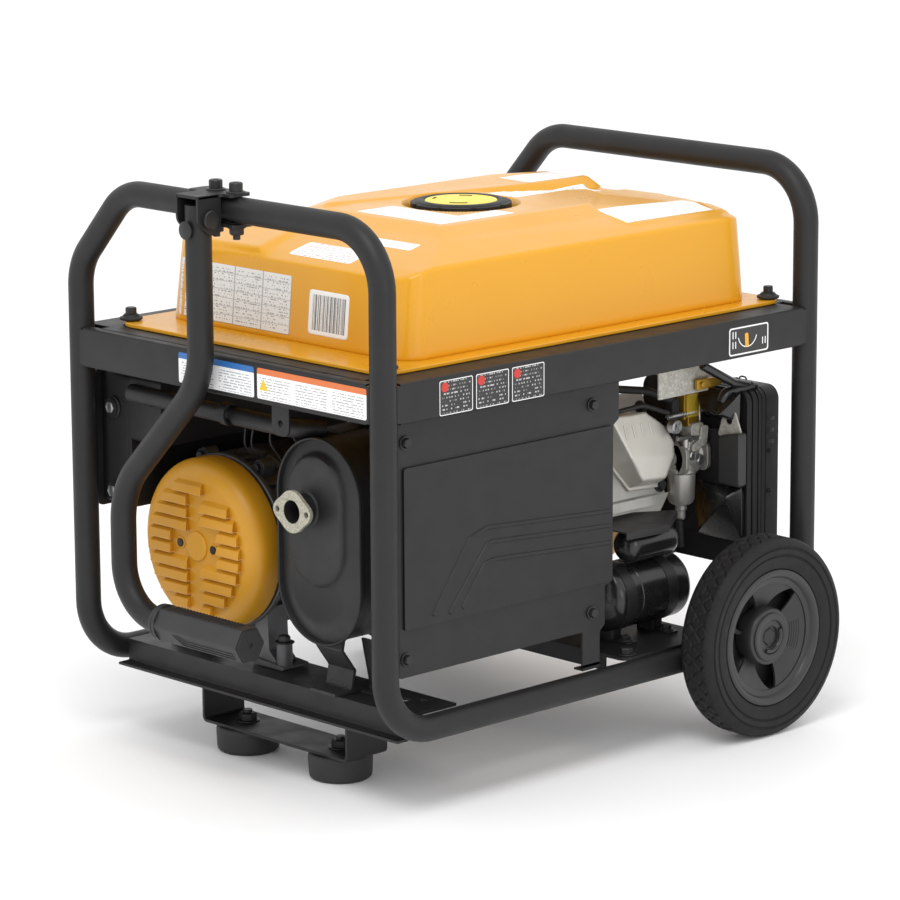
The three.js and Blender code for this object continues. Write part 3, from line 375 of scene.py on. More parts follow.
def loft(rings):
    """A solid over rings of points that all have the same count."""
    return [p for loop in rings for p in loop], skin(len(rings), len(rings[0]))


def tube(corners, radii, r, sides=32, steps=14):
    return sweep(bend(corners, radii, steps), circle(r, sides))


def lathe(profile, sides=64):
    """A turned solid. The profile is (radius, height) from axis to axis, or a closed ring."""
    points, rings, faces = [], [], []
    for r, h in profile:
        count = sides if r > 1e-6 else 1
        rings.append([len(points) + i for i in range(count)])
        points += [(u, v, h) for u, v in (circle(r, sides) if count > 1 else [(0, 0)])]
    for a, b in zip(rings, rings[1:]):
        for i in range(sides):
            j = i + 1
            corners = dict.fromkeys([a[i % len(a)], a[j % len(a)], b[j % len(b)], b[i % len(b)]])
            if len(corners) > 2:
                faces.append(tuple(corners))
    return points, faces


def ring(outer, inner, low, high, sides=64):
    points, faces = lathe([(inner, low), (outer, low), (outer, high), (inner, high)], sides)
    last = 3 * sides
    return points, faces + [(last + i, last + (i + 1) % sides, (i + 1) % sides, i) for i in range(sides)]


def rod(r, low, high, sides=32):
    return lathe([(0, low), (r, low), (r, high), (0, high)], sides)


def slab(outline, low, high, holes=()):
    """A flat outline with holes, thickened from low to high."""
    loops = [[Vector((u, v, 0)) for u, v in loop] for loop in (outline, *holes)]
    flat = [p for loop in loops for p in loop]
    count = len(flat)
    lids = [tuple(range(count))] if not holes else [tuple(t) for t in tessellate_polygon(loops)]
    points = [(p.x, p.y, h) for h in (low, high) for p in flat]
    faces = lids + [tuple(i + count for i in lid) for lid in lids]
    start = 0
    for loop in loops:
        for i in range(len(loop)):
            a, b = start + i, start + (i + 1) % len(loop)
            faces.append((a, b, b + count, a + count))
        start += len(loop)
    return points, faces


def block(x, y, z):
    return slab([(x[0], y[0]), (x[1], y[0]), (x[1], y[1]), (x[0], y[1])], z[0], z[1])


def hull(points):
    made = bmesh.new()
    corners = [made.verts.new(p) for p in points]
    bmesh.ops.convex_hull(made, input=corners)
    loose = [v for v in made.verts if not v.link_faces]
    bmesh.ops.delete(made, geom=loose, context="VERTS")
    bmesh.ops.dissolve_limit(made, angle_limit=0.02, verts=made.verts, edges=made.edges)
    made.verts.index_update()
    result = [v.co.copy() for v in made.verts], [tuple(v.index for v in f.verts) for f in made.faces]
    made.free()
    return result


def bolt(size, height, washer=0.0):
    """A hexagon head with a chamfered top on an optional round washer. Its base is at 0."""
    under = 1.6 if washer else 0
    points, faces = lathe([(0, under), (size, under), (size, under + height * 0.82),
                           (size * 0.86, under + height), (0, under + height)], 6)
    if washer:
        more, joined = lathe([(0, 0), (washer - 0.4, 0), (washer, 0.4), (washer, 1.2), (washer - 0.4, 1.6), (0, 1.6)],
                             40)
        faces += [tuple(i + len(points) for i in face) for face in joined]
        points += more
    return points, faces


class Shape:
    """Solids gathered into one piece, in millimetres."""

    def __init__(self):
        self.mesh = bmesh.new()

    def add(self, made, where=None, paint=0):
        points, faces = made
        where = where or Matrix()
        corners = [self.mesh.verts.new(where @ Vector(p)) for p in points]
        for face in faces:
            self.mesh.faces.new([corners[i] for i in face]).material_index = paint
        return self

    def data(self, name):
        bmesh.ops.recalc_face_normals(self.mesh, faces=self.mesh.faces)
        self.mesh.transform(TO_FRAME)
        data = bpy.data.meshes.new(name)
        self.mesh.to_mesh(data)
        self.mesh.free()
        data.shade_smooth()
        return data

    def piece(self, name, looks, replaces=(), slot=None, soft=0.0, steps=2, body="frame"):
        """Makes the object. soft is the radius that its edges are rounded to."""
        made = bpy.data.objects.new(name, self.data(name))
        return settle(made, body, looks, replaces, soft, steps)


SOFT_ABOVE, SHARP_ABOVE = math.radians(32), math.radians(38)


def settle(made, body, looks, replaces=(), soft=0.0, steps=2):
    bpy.context.scene.collection.objects.link(made)
    for look in looks if isinstance(looks, (list, tuple)) else [looks]:
        made.data.materials.append(look)
    if soft:
        rounding = made.modifiers.new("rounding", "BEVEL")
        rounding.width = soft * MM
        rounding.segments = steps
        rounding.limit_method = "ANGLE"
        rounding.angle_limit = SOFT_ABOVE
        rounding.harden_normals = True
    else:
        made.data.set_sharp_from_angle(angle=SHARP_ABOVE)
    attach(made, body)
    if replaces:
        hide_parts(*([replaces] if isinstance(replaces, str) else replaces))
    return made


def cast_smooth(shape, name, voxel, passes):
    """One skin over overlapping solids, with its edges melted round."""
    rough = bpy.data.objects.new(name, shape.data(name))
    bpy.context.scene.collection.objects.link(rough)
    skin = rough.modifiers.new("skin", "REMESH")
    skin.mode = "VOXEL"
    skin.voxel_size = voxel * MM
    melt = rough.modifiers.new("melt", "SMOOTH")
    melt.factor = 0.5
    melt.iterations = passes
    data = bpy.data.meshes.new_from_object(rough.evaluated_get(bpy.context.evaluated_depsgraph_get()))
    bpy.data.objects.remove(rough)
    data.name = name
    data.shade_smooth()
    return data


# ---------------------------------------------------------------- frame
HOOP = Room("left_hoop", "right_hoop")
RAIL = Room("front_upper_rail", "back_upper_rail")
SIDE_RAIL = Room("left_upper_rail", "right_upper_rail")
LOWER = Room("front_lower_rail", "back_lower_rail")
TUBE_R = (Room("left_hoop").x1 - Room("left_hoop").x0) / 2
POST_X, POST_Y = HOOP.x1 - TUBE_R, HOOP.y1 - TUBE_R
HOOP_TOP = HOOP.z1 - TUBE_R
LOWER_Z = LOWER.z0 + TUBE_R
FRAME_BEND = 57
CHAMFER = (71.9, 78.5)
SHEET = 2


def add_tubes():
    joint_z = HOOP.z0
    for name, x in (("left_hoop", -POST_X), ("right_hoop", POST_X)):
        corners = [(x, -POST_Y, joint_z), (x, -POST_Y, HOOP_TOP), (x, POST_Y - CHAMFER[0], HOOP_TOP),
                   (x, POST_Y, HOOP_TOP - CHAMFER[1]), (x, POST_Y, joint_z)]
        Shape().add(tube(corners, FRAME_BEND, TUBE_R)).piece(name + "_tube", POWDER, name, "frame_paint")
    for name, y in (("front_lower_rail", -POST_Y), ("back_lower_rail", POST_Y)):
        corners = [(-POST_X, y, joint_z), (-POST_X, y, LOWER_Z), (POST_X, y, LOWER_Z), (POST_X, y, joint_z)]
        Shape().add(tube(corners, FRAME_BEND, TUBE_R)).piece(name + "_tube", POWDER, name, "frame_paint")


def folded(section, steps=4):
    """Rounds the named corners of a sheet's section. A corner is (u, v) or (u, v, radius)."""
    points = []
    count = len(section)
    for i, corner in enumerate(section):
        if len(corner) == 2:
            points.append(corner)
            continue
        u, v, r = corner
        here = Vector((u, v, 0))
        before = Vector((*section[i - 1][:2], 0))
        after = Vector((*section[(i + 1) % count][:2], 0))
        points += [(p.x, p.y) for p in bend([before, here, after], r, steps)[1:-1]]
    return points


def channel(face, side, lip, top, z0, z1):
    """A rail's folded section. Its web stands at face, with a lip below and a flange on top turned inwards."""
    near, web, far = (face - side * d for d in (lip, SHEET, top))
    return folded([(face, z0, 3), (near, z0), (near, z0 + SHEET), (web, z0 + SHEET, 1), (web, z1 - SHEET, 1),
                   (far, z1 - SHEET), (far, z1), (face, z1, 3)])


def add_upper_rails():
    z0, z1 = RAIL.z0, RAIL.z1
    lip, flange, short_flange, past_post = 13, 38, 12, 5
    for name, side in (("front_upper_rail", -1), ("back_upper_rail", 1)):
        face = side * RAIL.y1
        shape = Shape().add(slab(channel(face, side, lip, flange, z0, z1), RAIL.x0, RAIL.x1), place("x"))
        outline = rounded((RAIL.x0 - past_post, RAIL.x1 + past_post), (z0 + 2, z1 - 2), 0.5, 2)
        shape.add(slab(outline, abs(face) - SHEET, abs(face) - 0.01), place("-y" if side < 0 else "y"))
        shape.piece(name + "_channel", POWDER, name, "frame_paint", 0.35)
    for name, side in (("left_upper_rail", -1), ("right_upper_rail", 1)):
        face = side * SIDE_RAIL.x1
        section = channel(face, side, lip, short_flange, z0, z1)
        shape = Shape().add(slab(section, -SIDE_RAIL.y1, SIDE_RAIL.y1), place("-y"))
        outline = rounded((-SIDE_RAIL.y1 - past_post, SIDE_RAIL.y1 + past_post), (z0 + 2, z1 - 2), 0.5, 2)
        shape.add(slab(outline, abs(face) - SHEET, abs(face) - 0.01), place("-x" if side < 0 else "x"))
        inner = POST_Y + 10 - flange
        shelf = rounded(sorted((face - side * 10, face - side * flange)), (-inner, inner), 1, 2)
        shape.add(slab(shelf, z1 - SHEET, z1))
        if side < 0:
            tab = folded([(-12, z0 + 2), (-12, z0 - 30, 8), (12, z0 - 30, 8), (12, z0 + 2)])
            shape.add(slab(tab, abs(face) - 12, abs(face) - 10, [circle(3.4, 16, (0, z0 - 18))]),
                      place("-x", (0, -76, 0)))
        shape.piece(name + "_channel", POWDER, name, "frame_paint", 0.35)


def add_beams():
    beam = Room("left_cross_beam")
    low, high = beam.z0, beam.z1
    x0, web, inner, t = beam.x0, beam.x0 + 13.5, beam.x1, 2.5
    section = folded([(x0, low), (web + t, low, 3.5), (web + t, high - t - 0.02), (web, high - t - 0.02),
                      (web, low + t, 1), (x0, low + t)])
    shape = Shape().add(slab(section, -beam.y1, beam.y1), place("-y"))
    holes = [circle(6, 20, (inner - 26, y)) for y in (-160, -118, 150)]
    holes += [circle(4, 16, (inner - 14, y)) for y in (-174, -60, 20, 122)]
    top = folded([(web, -beam.y1, 1), (inner, -beam.y1, 1), (inner, beam.y1, 1), (web, beam.y1, 1)])
    shape.add(slab(top, high - t, high, holes))
    shape.piece("left_cross_beam_section", POWDER, "left_cross_beam", "frame_paint", 0.3)

    deck = Room("engine_deck")
    outline = rounded((deck.x0, deck.x1), (deck.y0, deck.y1), 10)
    holes = [circle(12, 24, (deck.x, y)) for y in (-10, 168)] + [circle(5, 16, (deck.x1 - 12, y)) for y in (-190, -96,
                                                                                                            190)]
    shape = Shape().add(slab(outline, deck.z0, deck.z1, holes))
    for x in (deck.x0, deck.x1):
        inward = 1.5 if x == deck.x0 else -1.5
        shape.add(block(sorted((x, x + inward)), (deck.y0 + 26, deck.y1 - 26), (deck.z0 - 14, deck.z0 + 0.5)))
    for x in (deck.x0 + 14, deck.x1 - 14):
        for y in (deck.y0 + 11, deck.y1 - 11):
            shape.add(bolt(6.5, 6, 9), place("z", (x, y, deck.z1 - 0.1)), 1)
    shape.piece("engine_deck_plate", [POWDER, DARK_STEEL], "engine_deck", "frame_paint", 0.35)


def add_feet():
    base = Room("foot_bracket")
    y, x0, x1, low, top, t = base.y1, base.x0, base.x1, base.z0, base.z1, 3
    section = folded([(-y, top), (-y, low, 6), (y, low, 6), (y, top), (y - t, top), (y - t, low + t, 3),
                      (-y + t, low + t, 3), (-y + t, top)])
    shape = Shape().add(slab(section, x0, x1), place("x"))
    for side in (-1, 1):
        foot = Room("front_foot" if side < 0 else "back_foot")
        shape.add(bolt(9, 7.5, 12), place("z", (foot.x, foot.y, low + t - 0.1), 12), 1)
        shape.add(rod(4.5, 7, 12, 20), place("z", (foot.x, foot.y, low + t)), 1)
        lug = rounded(sorted((side * (y - 1), side * (y + 14))), (x0 + 4, x1 - 4), 3)
        shape.add(slab([(v, u) for u, v in lug], top - t, top - 0.05))
    shape.piece("foot_bracket_channel", [POWDER, DARK_STEEL], "foot_bracket", "frame_paint", 0.4)
    for name in ("front_foot", "back_foot"):
        foot = Room(name)
        r, h = (foot.x1 - foot.x0) / 2, foot.z1
        profile = [(0, 0), (r - 6, 0), (r - 3, 0.6), (r - 1.2, 2.4), (r - 0.6, 5), (r, h - 6), (r, h - 3),
                   (r - 0.8, h - 1), (r - 2, h), (0, h)]
        Shape().add(lathe(profile, 96), place("z", (foot.x, foot.y, 0))).piece(
            name + "_rubber", RUBBER, name, "rubber")


# ---------------------------------------------------------------- wheels
TREAD_PITCHES = 44
DASH_DEPTH = 1.5


def tread_depth(turn, across, width):
    """How deep the tread is cut at a turn (0 to 1) and a place across it: a lattice of slanted dashes."""
    lean = 1.9
    deepest = 0.0
    for direction in (-1, 1):
        run = turn * TREAD_PITCHES + direction * lean * across / width
        line = abs((run % 1) - 0.5)
        beat = (across / width * 3.0 + math.floor(run) * 0.5) % 1
        if line < 0.13 and 0.12 < beat < 0.86:
            deepest = max(deepest, min(1, (0.13 - line) / 0.05))
    edge = min(1, (width / 2 - abs(across)) / 2)
    return DASH_DEPTH * deepest * max(0, edge)


def tyre_solid(r, rim, width):
    """A tyre lying flat: 0 is its outer side and width its inner side."""
    side = [(rim, 7), (rim + 1.5, 4.2), (rim + 6, 2.4), (rim + 11, 1.6), (rim + 13.6, 1.5), (rim + 14.4, 2.6),
            (rim + 15.6, 2.6), (rim + 16.4, 1.2), (rim + 20, 0.4), (rim + 21.4, 0.4), (rim + 22.2, 1.6),
            (rim + 23.4, 1.6),
            (rim + 24.2, 0.5), (r - 8, 0.2), (r - 5, 1.0), (r - 2.6, 2.6), (r - 1, 5), (r - 0.3, 7)]
    tread_steps = 34
    band = (7, width - 7)
    tread = [(r, band[0] + (band[1] - band[0]) * (i + 0.5) / tread_steps) for i in range(tread_steps)]
    far = [(pr, width - h) for pr, h in reversed(side)]
    profile = side + tread + far
    turns = 660
    points, faces = [], []
    for i in range(turns):
        turn = i / turns
        c, s = math.cos(2 * math.pi * turn), math.sin(2 * math.pi * turn)
        for k, (pr, h) in enumerate(profile):
            if len(side) <= k < len(side) + tread_steps:
                pr -= tread_depth(turn, h - width / 2, band[1] - band[0] + 6)
            points.append((pr * c, pr * s, h))
    count = len(profile)
    for i in range(turns):
        for k in range(count):
            a, b = i * count, ((i + 1) % turns) * count
            faces.append((a + k, a + (k + 1) % count, b + (k + 1) % count, b + k))
    return points, faces


# Each petal of the rim: its two edges as angles in degrees, first at the hub and then at the outer end.
PETALS = (((-60, -80), (32, 46)), ((76, 50), (106, 119)), ((164, 158), (170, 164)), ((-140, -146), (-110, -85)))


def petal(low, high, r, depth, side, thick=2.4, steps=(28, 12)):
    """A dished petal of the rim between two edges. It lies at 0 at its outer end and depth lower at the hub."""
    across, out = steps
    upper = []
    for i in range(across + 1):
        for k in range(out + 1):
            share = k / out
            first, last = (hub + (tip - hub) * share ** 1.4 for hub, tip in (low, high))
            a = math.radians(first + (last - first) * i / across)
            radius = r[0] + (r[1] - r[0]) * share
            upper.append((side * radius * math.cos(a), radius * math.sin(a), -depth * (1 - share) ** 0.8))
    lower = [(x, y, z - thick) for x, y, z in upper]
    count = len(upper)
    faces = []
    for i in range(across):
        for k in range(out):
            a, b = i * (out + 1) + k, (i + 1) * (out + 1) + k
            faces += [(a, a + 1, b + 1, b), (a + count, b + count, b + 1 + count, a + 1 + count)]
    edge = list(range(out + 1)) + [i * (out + 1) + out for i in range(1, across + 1)]
    edge += [across * (out + 1) + k for k in range(out - 1, -1, -1)] + [i * (out + 1) for i in range(across - 1, 0,
                                                                                                     -1)]
    for a, b in zip(edge, edge[1:] + edge[:1]):
        faces.append((a, b, b + count, a + count))
    return upper + lower, faces


def add_wheel(name, side):
    tyre = Room(name + "_tyre")
    r, width = (tyre.x1 - tyre.x0) / 2, tyre.y1 - tyre.y0
    face = "-y" if side < 0 else "y"
    outside = (tyre.x, tyre.y0 if side < 0 else tyre.y1, tyre.z)
    inwards = place(face, outside) @ Matrix.Scale(-1, 4, (0, 0, 1))
    rim_r = 69
    Shape().add(tyre_solid(r, rim_r, width), inwards).piece(name + "_tyre_rubber", TYRE, name + "_tyre",
                                                            "tyre_rubber", body=name)

    shape = Shape()
    bead = [(60, 9), (62, 5), (64, 3.6), (67, 3.2), (69, 4), (69.6, 6), (69.6, width - 6), (68, width - 4),
            (62, width - 4), (60, width - 6), (60, 9)]
    shape.add(lathe(bead, 120), inwards)
    shape.add(lathe([(55, 9.4), (60.8, 8), (60.8, 12), (55, 12.6), (55, 9.4)], 120), inwards)
    outward = place(face, outside)
    dish = 13
    for low, high in PETALS:
        solid = petal(low, high, (26, 57.5), dish, -side)
        shape.add(solid, outward @ Matrix.Translation((0, 0, -9.4)))
    for k in range(7):
        rib_r = 35 + k * 2.4
        height = -9.4 - dish * (1 - (rib_r - 26) / 31.5) ** 0.8
        rib = [(-side * u, v, height) for u, v in arc(rib_r, -26, 10, 9)]
        shape.add(sweep(rib, circle(0.5, 8)), outward)
    hub = [(17, 8), (17.8, 6.6), (19.4, 6), (23.4, 6), (24.6, 6.8), (25, 8.6), (28, 9.2), (29.4, 11.4), (29.7, 26),
           (26, width - 8), (17, width - 8), (17, 8)]
    shape.add(lathe(hub, 96), inwards)
    shape.add(ring(17.5, 11.6, 8.6, 18, 64), inwards)
    shape.add(lathe([(26, width - 9), (61, width - 9), (61, width - 7), (26, width - 7), (26, width - 9)], 96),
              inwards)
    crescent = arc(14.8, -118, 26, 18)
    shape.add(ring(13, 7.4, 11, width - 6, 48), inwards)
    shape.piece(name + "_rim_plastic", RIM_PLASTIC, name + "_rim", "black_plastic", 0.35, body=name)
    # A darker glossy bead along a crescent stands for the shade in the hub's recess: painted shade.
    mark = Shape().add(sweep([(u, v, -8.4) for u, v in crescent], circle(2.3, 12)), outward)
    mark.piece(name + "_hub_recess_shade", GLOSS_PLASTIC, slot="black_plastic", body=name)


def add_axles():
    wheel = Room("front_wheel_tyre")
    at = (wheel.x, 0, wheel.z)
    for name, side in (("front_wheel_axle", -1), ("back_wheel_axle", 1)):
        axle = Room(name)
        face = "-y" if side < 0 else "y"
        inner, outer = sorted((abs(axle.y0), abs(axle.y1)))
        shape = Shape().add(rod(6, inner + 12, outer - 11), place(face, at))
        shape.add(bolt(9.6, 6.4, 11.2), place(face, (wheel.x, side * (outer - 12), wheel.z), 20))
        bracket = folded([(-24, axle.z0 - wheel.z), (24, axle.z0 - wheel.z), (24, 6, 8), (8, 14, 8), (-8, 14, 8),
                          (-24, 6, 8)])
        shape.add(slab(bracket, outer - 44.4, outer - 40.6), place(face, at))
        shape.add(slab(bracket, inner + 0.2, inner + 4), place(face, at))
        shape.add(block((-24, 24), (axle.z0 - wheel.z, axle.z0 - wheel.z + 3), (inner + 0.2, outer - 40.6)),
                  place(face, at))
        shape.piece(name + "_bracket", DARK_STEEL, name, "steel", 0.4)


# ---------------------------------------------------------------- heat shield
# Three embossed lines that run across the sheet and bend down towards the muffler end, as (x, z) corners.
SHIELD_STRIPES = (((-229, 191), (-181, 257), (-159, 264), (10, 252.5)), ((-208, 189), (-156, 249.5), (10, 238)),
    ((-191, 191), (-161, 230), (-147, 231.5), (10, 221)),)


def add_heat_shield():
    sheet = Room("heat_shield")
    y = sheet.y1 - 12
    face = abs(y)
    x0, x1, z0, z1 = sheet.x0, sheet.x1, sheet.z0, sheet.z1
    outline = folded([(x0, z0 + 39.3, 3), (x1 - 50, z0 + 39.3, 2), (x1 - 50, z0), (x1 - 26, z0),
                      (x1 - 26, z0 + 36, 3),
                      (x1 - 19, z0 + 42, 3), (x1 - 19, z0 + 81, 3), (x1 - 8, z0 + 84, 3), (x1 - 8, z1 - 56, 3),
                      (x1, z1 - 50, 3), (x1, z1, 3), (x0, z1, 3)])
    shape = Shape().add(slab(outline, face - 2, face), place("-y"))
    field = folded([(x0 + 5, z0 + 85, 3), (x1 - 11, z0 + 85, 3), (x1 - 11, z1 - 55, 3), (x0 + 5, z1 - 55, 3)])
    shape.add(slab(field, face - 1, face + 2.4), place("-y"))
    for line in SHIELD_STRIPES:
        path = bend([(u, -face - 2.4, v) for u, v in line], 9, 8)
        shape.add(sweep(path, [(-2.6, -0.6), (2.6, -0.6), (1.5, 1.1), (-1.5, 1.1)], up=(0, -1, 0)))
    for u, v in ((x0 + 8, z1 - 31), (x1 - 38, z1 - 31), (x0 + 8, z0 + 57), (x1 - 38, z0 + 57)):
        shape.add(bolt(5, 4, 6.8), place("-y", (u, -face - 0.05, v), 15), 1)
    strap = folded([(y, z0, 3), (y + 12, z0), (y + 12, z0 + 2), (y + 2, z0 + 2, 1), (y + 2, z0 + 6), (y, z0 + 6)])
    shape.add(slab(strap, x1 - 50, x1 - 26), place("x"))
    shape.piece("heat_shield_sheet", [POWDER, DARK_STEEL], "heat_shield", "frame_paint", 0.5)


# ---------------------------------------------------------------- folding handle
def add_handle():
    pin, grip = Room("pivot_pin"), Room("handle_grip")
    bar = Room("handle_tube")
    x, pin_z = bar.x, pin.z
    y = (pin.y0 + pin.y1) / 2 + 0.6
    y_low, grip_z = bar.y1 - TUBE_R, grip.z
    upper_z, knee_drop = 395, 121
    shape = Shape().add(tube([(x, y, pin_z + 13), (x, y, upper_z), (x, y_low, upper_z - knee_drop),
                              (x, y_low, grip_z), (x, grip.y0 + 6.3, grip_z)], [80, 80, 50], TUBE_R))
    shape.piece("handle_tube_bar", POWDER, "handle_tube", "frame_paint", 0.8, body="handle")

    y0, y1 = grip.y0, grip.y1
    across = (grip.x1 - grip.x0) / 2
    body_end = y1 - 8
    body, cap = (folded([(u, v, 3.5) for u, v in circle(reach, 6)]) for reach in (across, 0.93 * across))
    towards = place("-y", (x, 0, grip_z))
    shape = Shape().add(slab(body, -body_end, -y0 - 1.6), towards)
    shape.add(slab(cap, -y0 - 2, -y0, [circle(2.6, 16)]), towards)
    shape.add(lathe([(TUBE_R + 0.3, -y1), (17.2, -y1), (18, -y1 + 1.2), (18, -y1 + 3.2), (17, -y1 + 4.2),
                     (17, -y1 + 5),
                     (18.3, -y1 + 6), (18.3, -y1 + 9), (TUBE_R + 0.3, -y1 + 9), (TUBE_R + 0.3, -y1)], 64), towards)
    # Ribs across the top face, and three bent ridges on the upper face that looks away from the frame.
    for i in range(22):
        v = y0 + 16 + i * 4.6
        rib = [(x - across * 0.4, v, grip_z + across * 0.866), (x + across * 0.4, v, grip_z + across * 0.866)]
        shape.add(sweep(rib, circle(0.9, 8)))
    slope = Matrix.Translation((x, 0, grip_z)) @ Matrix.Rotation(math.radians(150), 4, "Y")
    for k in range(3):
        offset = k * 3.2
        line = [(-y0 - 10, 6.5 - offset), (-y0 - 84 + offset, 6.5 - offset), (-y0 - 97 + offset, -4.5)]
        path = [slope @ Vector((across * 0.866, -u, v)) for u, v in line]
        shape.add(sweep(bend(path, 3, 5), [(-0.8, -0.7), (0.8, -0.7), (0.8, 0.6), (-0.8, 0.6)], up=(-1, 0, 1)))
    shape.piece("handle_grip_rubber", GRIP_RUBBER, "handle_grip", "rubber", 0.4, body="handle")

    button = Room("lock_button")
    lock = Shape().add(lathe([(0, -button.x0), (7.4, -button.x0), (8.7, -button.x0 - 0.9), (8.7, -button.x0 - 2),
                              (2.9, -button.x0 - 2), (2.9, -button.x1 + 3.4), (0, -button.x1 + 3.4)], 40),
                       place("-x", (0, button.y, button.z)))
    lock.piece("lock_button_disc", DARK_STEEL, "lock_button", "steel", body="lock_button")

    shape = Shape()
    shape.add(lathe([(0, 16.6), (8.2, 16.6), (9, 17.4), (9, 21), (8, 21.9), (0, 21.9)], 48),
              place("-y", (x, y + 1.2, pin_z)))
    shape.add(rod(4, -19.4, 17), place("-y", (x, y, pin_z)))
    shape.add(bolt(7, 3.4), place("y", (x, pin.y1 - 3.5, pin_z)))
    shape.piece("pivot_pin_bolt", DARK_STEEL, "pivot_pin", "steel", 0.3)

    bracket, clamp = Room("handle_bracket"), Room("bracket_clamp")
    top = HOOP.z1 + 0.3
    hoop_x = -POST_X
    low = bracket.z0
    cheek = folded([(bracket.x0, top + 2), (bracket.x0, low + 14, 12), (x + 1, low, 14),
                    (hoop_x - TUBE_R - 1, low + 3, 6), (hoop_x - TUBE_R - 1, top + 2)])
    shape = Shape()
    for side_y in (y - 14.75, y + 14.75):
        shape.add(slab(cheek, -side_y - 1.25, -side_y + 1.25, [circle(4.4, 20, (x, pin_z))]), place("-y"))
    wide = folded([(bracket.x0, y - 16, 1.5), (hoop_x - 13, y - 16, 4), (hoop_x - 13, y - 30, 4),
                   (hoop_x + 13, y - 30, 5),
                   (hoop_x + 13, y + 33, 5), (hoop_x - 13, y + 33, 4), (hoop_x - 13, y + 16, 4),
                   (bracket.x0, y + 16, 1.5)])
    shape.add(slab(wide, top, top + 3))
    for at in (y - 22, y + 7):
        shape.add(lathe([(0, 2.9), (9.4, 2.9), (9.4, 4), (8.4, 4.8), (0, 4.8)], 40), place("z", (hoop_x, at, top)), 1)
        shape.add(lathe([(0, 4.8), (6.6, 4.8), (6.6, 12), (5.8, 13), (3.4, 13), (3, 11.6), (0, 11.6)], 32),
                  place("z", (hoop_x, at, top)), 1)
    shape.piece("handle_bracket_channel", [POWDER, DARK_STEEL], "handle_bracket", "frame_paint", 0.5)

    plate_z = clamp.z1
    strap = rounded((clamp.x0, clamp.x1), (clamp.y0, clamp.y1), 4)
    shape = Shape().add(slab(strap, plate_z - 3, plate_z))
    for at in (y - 22, y + 7):
        shape.add(bolt(7.4, 6.5, 9), place("-z", (hoop_x, at, plate_z - 2.9)), 1)
        shape.add(rod(3.6, 6, 12.5, 24), place("-z", (hoop_x, at, plate_z - 3)), 1)
    shape.piece("bracket_clamp_plate", [POWDER, DARK_STEEL], "bracket_clamp", "frame_paint", 0.5)


# ---------------------------------------------------------------- fuel tank
CAP = Room("fuel_cap")
TANK = Room("fuel_tank")
CAP_SEAT = CAP.z0 - 0.5


def tank_shell():
    """The pressed shell as overlapping solids: walls and slopes, plateau, back ridge, deck and nose."""
    foot = [(u, v, 424) for u, v in rounded((-222, 262), (-176, 176), 28)]
    fold, slopes = [], []
    for side in (-1, 1):
        fold += [(-215, side * 143, 500), (-213, side * 153, 500.5), (-206, side * 164, 503), (-196, side * 170, 507),
                 (-184, side * 171, 509.5), (228, side * 171, 511), (240, side * 169, 510), (249, side * 163, 509),
                 (255, side * 154, 508), (257, side * 143, 508)]
        slopes += [(-126, side * 123, 524), (238, side * 123, 522)]
    plateau = [(-130, -127, 522.7), (95, -132, 520), (185, -18, 524), (70, 62, 523), (-130, 110, 522.7),
               (-100, -98, 531.5),
               (104, -96, 531.5), (168, -46, 531.5), (174, -24, 531.5), (105, -22, 531.5), (78, 40, 531.5),
               (-50, 72, 531.5), (-100, 70, 531.5)]
    ridge = [(-118, 70, 524), (-60, 66, 526), (120, 26, 524), (242, 18, 523), (248, 120, 520), (-80, 140, 518),
             (-84, 84, 534),
             (-46, 109, 534), (169, 108, 534), (236, 92, 532), (237, 34, 533), (137, 36, 534), (-60, 80, 534)]
    deck = [(92, -142, 508), (180, -20, 508), (246, -20, 508), (250, -150, 508), (96, -141, 519.5), (112, -100, 528),
            (160, -52, 530), (180, -30, 529.5), (228, -25, 526), (246, -60, 523), (249, -130, 519),
            (246, -154, 515.5), (110, -154, 517)]
    nose = [(-214, 20, 496), (-214, 150, 496), (-150, 50, 508), (-110, 150, 508), (-211, 44, 509), (-211, 143, 507),
            (-200, 164, 505), (-163, 54, 517), (-112, 120, 526), (-118, 60, 527)]
    shape = Shape()
    for solid in (foot + fold + slopes, plateau, ridge, deck, nose):
        shape.add(hull(solid))
    return shape


def add_tank():
    data = cast_smooth(tank_shell(), "fuel_tank_shell", 2.1, 9)
    centre = TO_FRAME @ Vector((CAP.x, CAP.y, 0))
    seat, well, blend = CAP_SEAT * MM, 54.5 * MM, 5 * MM
    for vertex in data.vertices:
        reach = math.hypot(vertex.co.x - centre.x, vertex.co.y - centre.y)
        if vertex.co.z > seat - 4 * MM and reach < well + blend:
            share = min(1, max(0, (reach - well) / blend))
            drop = min(vertex.co.z, seat)
            vertex.co.z += (drop - vertex.co.z) * (1 - share * share * (3 - 2 * share))
    shell = bpy.data.objects.new("fuel_tank_shell", data)
    settle(shell, "frame", TANK_PAINT, "fuel_tank")
    data.set_sharp_from_angle(angle=math.pi)

    flange_z = RAIL.z1 + 0.3
    x0, x1, y1 = TANK.x0, TANK.x1, TANK.y1
    flange = folded([(x0, -y1 + 20, 14), (x0 + 10, -y1 + 1, 9), (x0 + 30, -y1, 30), (x1 - 28, -y1, 30),
                     (x1 - 8, -y1 + 1, 9),
                     (x1, -y1 + 20, 14), (x1, y1 - 20, 14), (x1 - 8, y1 - 1, 9), (x1 - 28, y1, 30), (x0 + 30, y1, 30),
                     (x0 + 10, y1 - 1, 9), (x0, y1 - 20, 14)])
    lip = Shape().add(slab(flange, flange_z, flange_z + 4.1))
    lip.piece("fuel_tank_flange", TANK_PAINT, slot="tank_paint", soft=1.2, steps=3)
    pan = Shape().add(slab(rounded((-244, 258), (-172, 172), 26, 8), TANK.z0, flange_z + 1))
    pan.piece("fuel_tank_pan", TANK_PAINT, slot="tank_paint", soft=6, steps=4)
    return shell


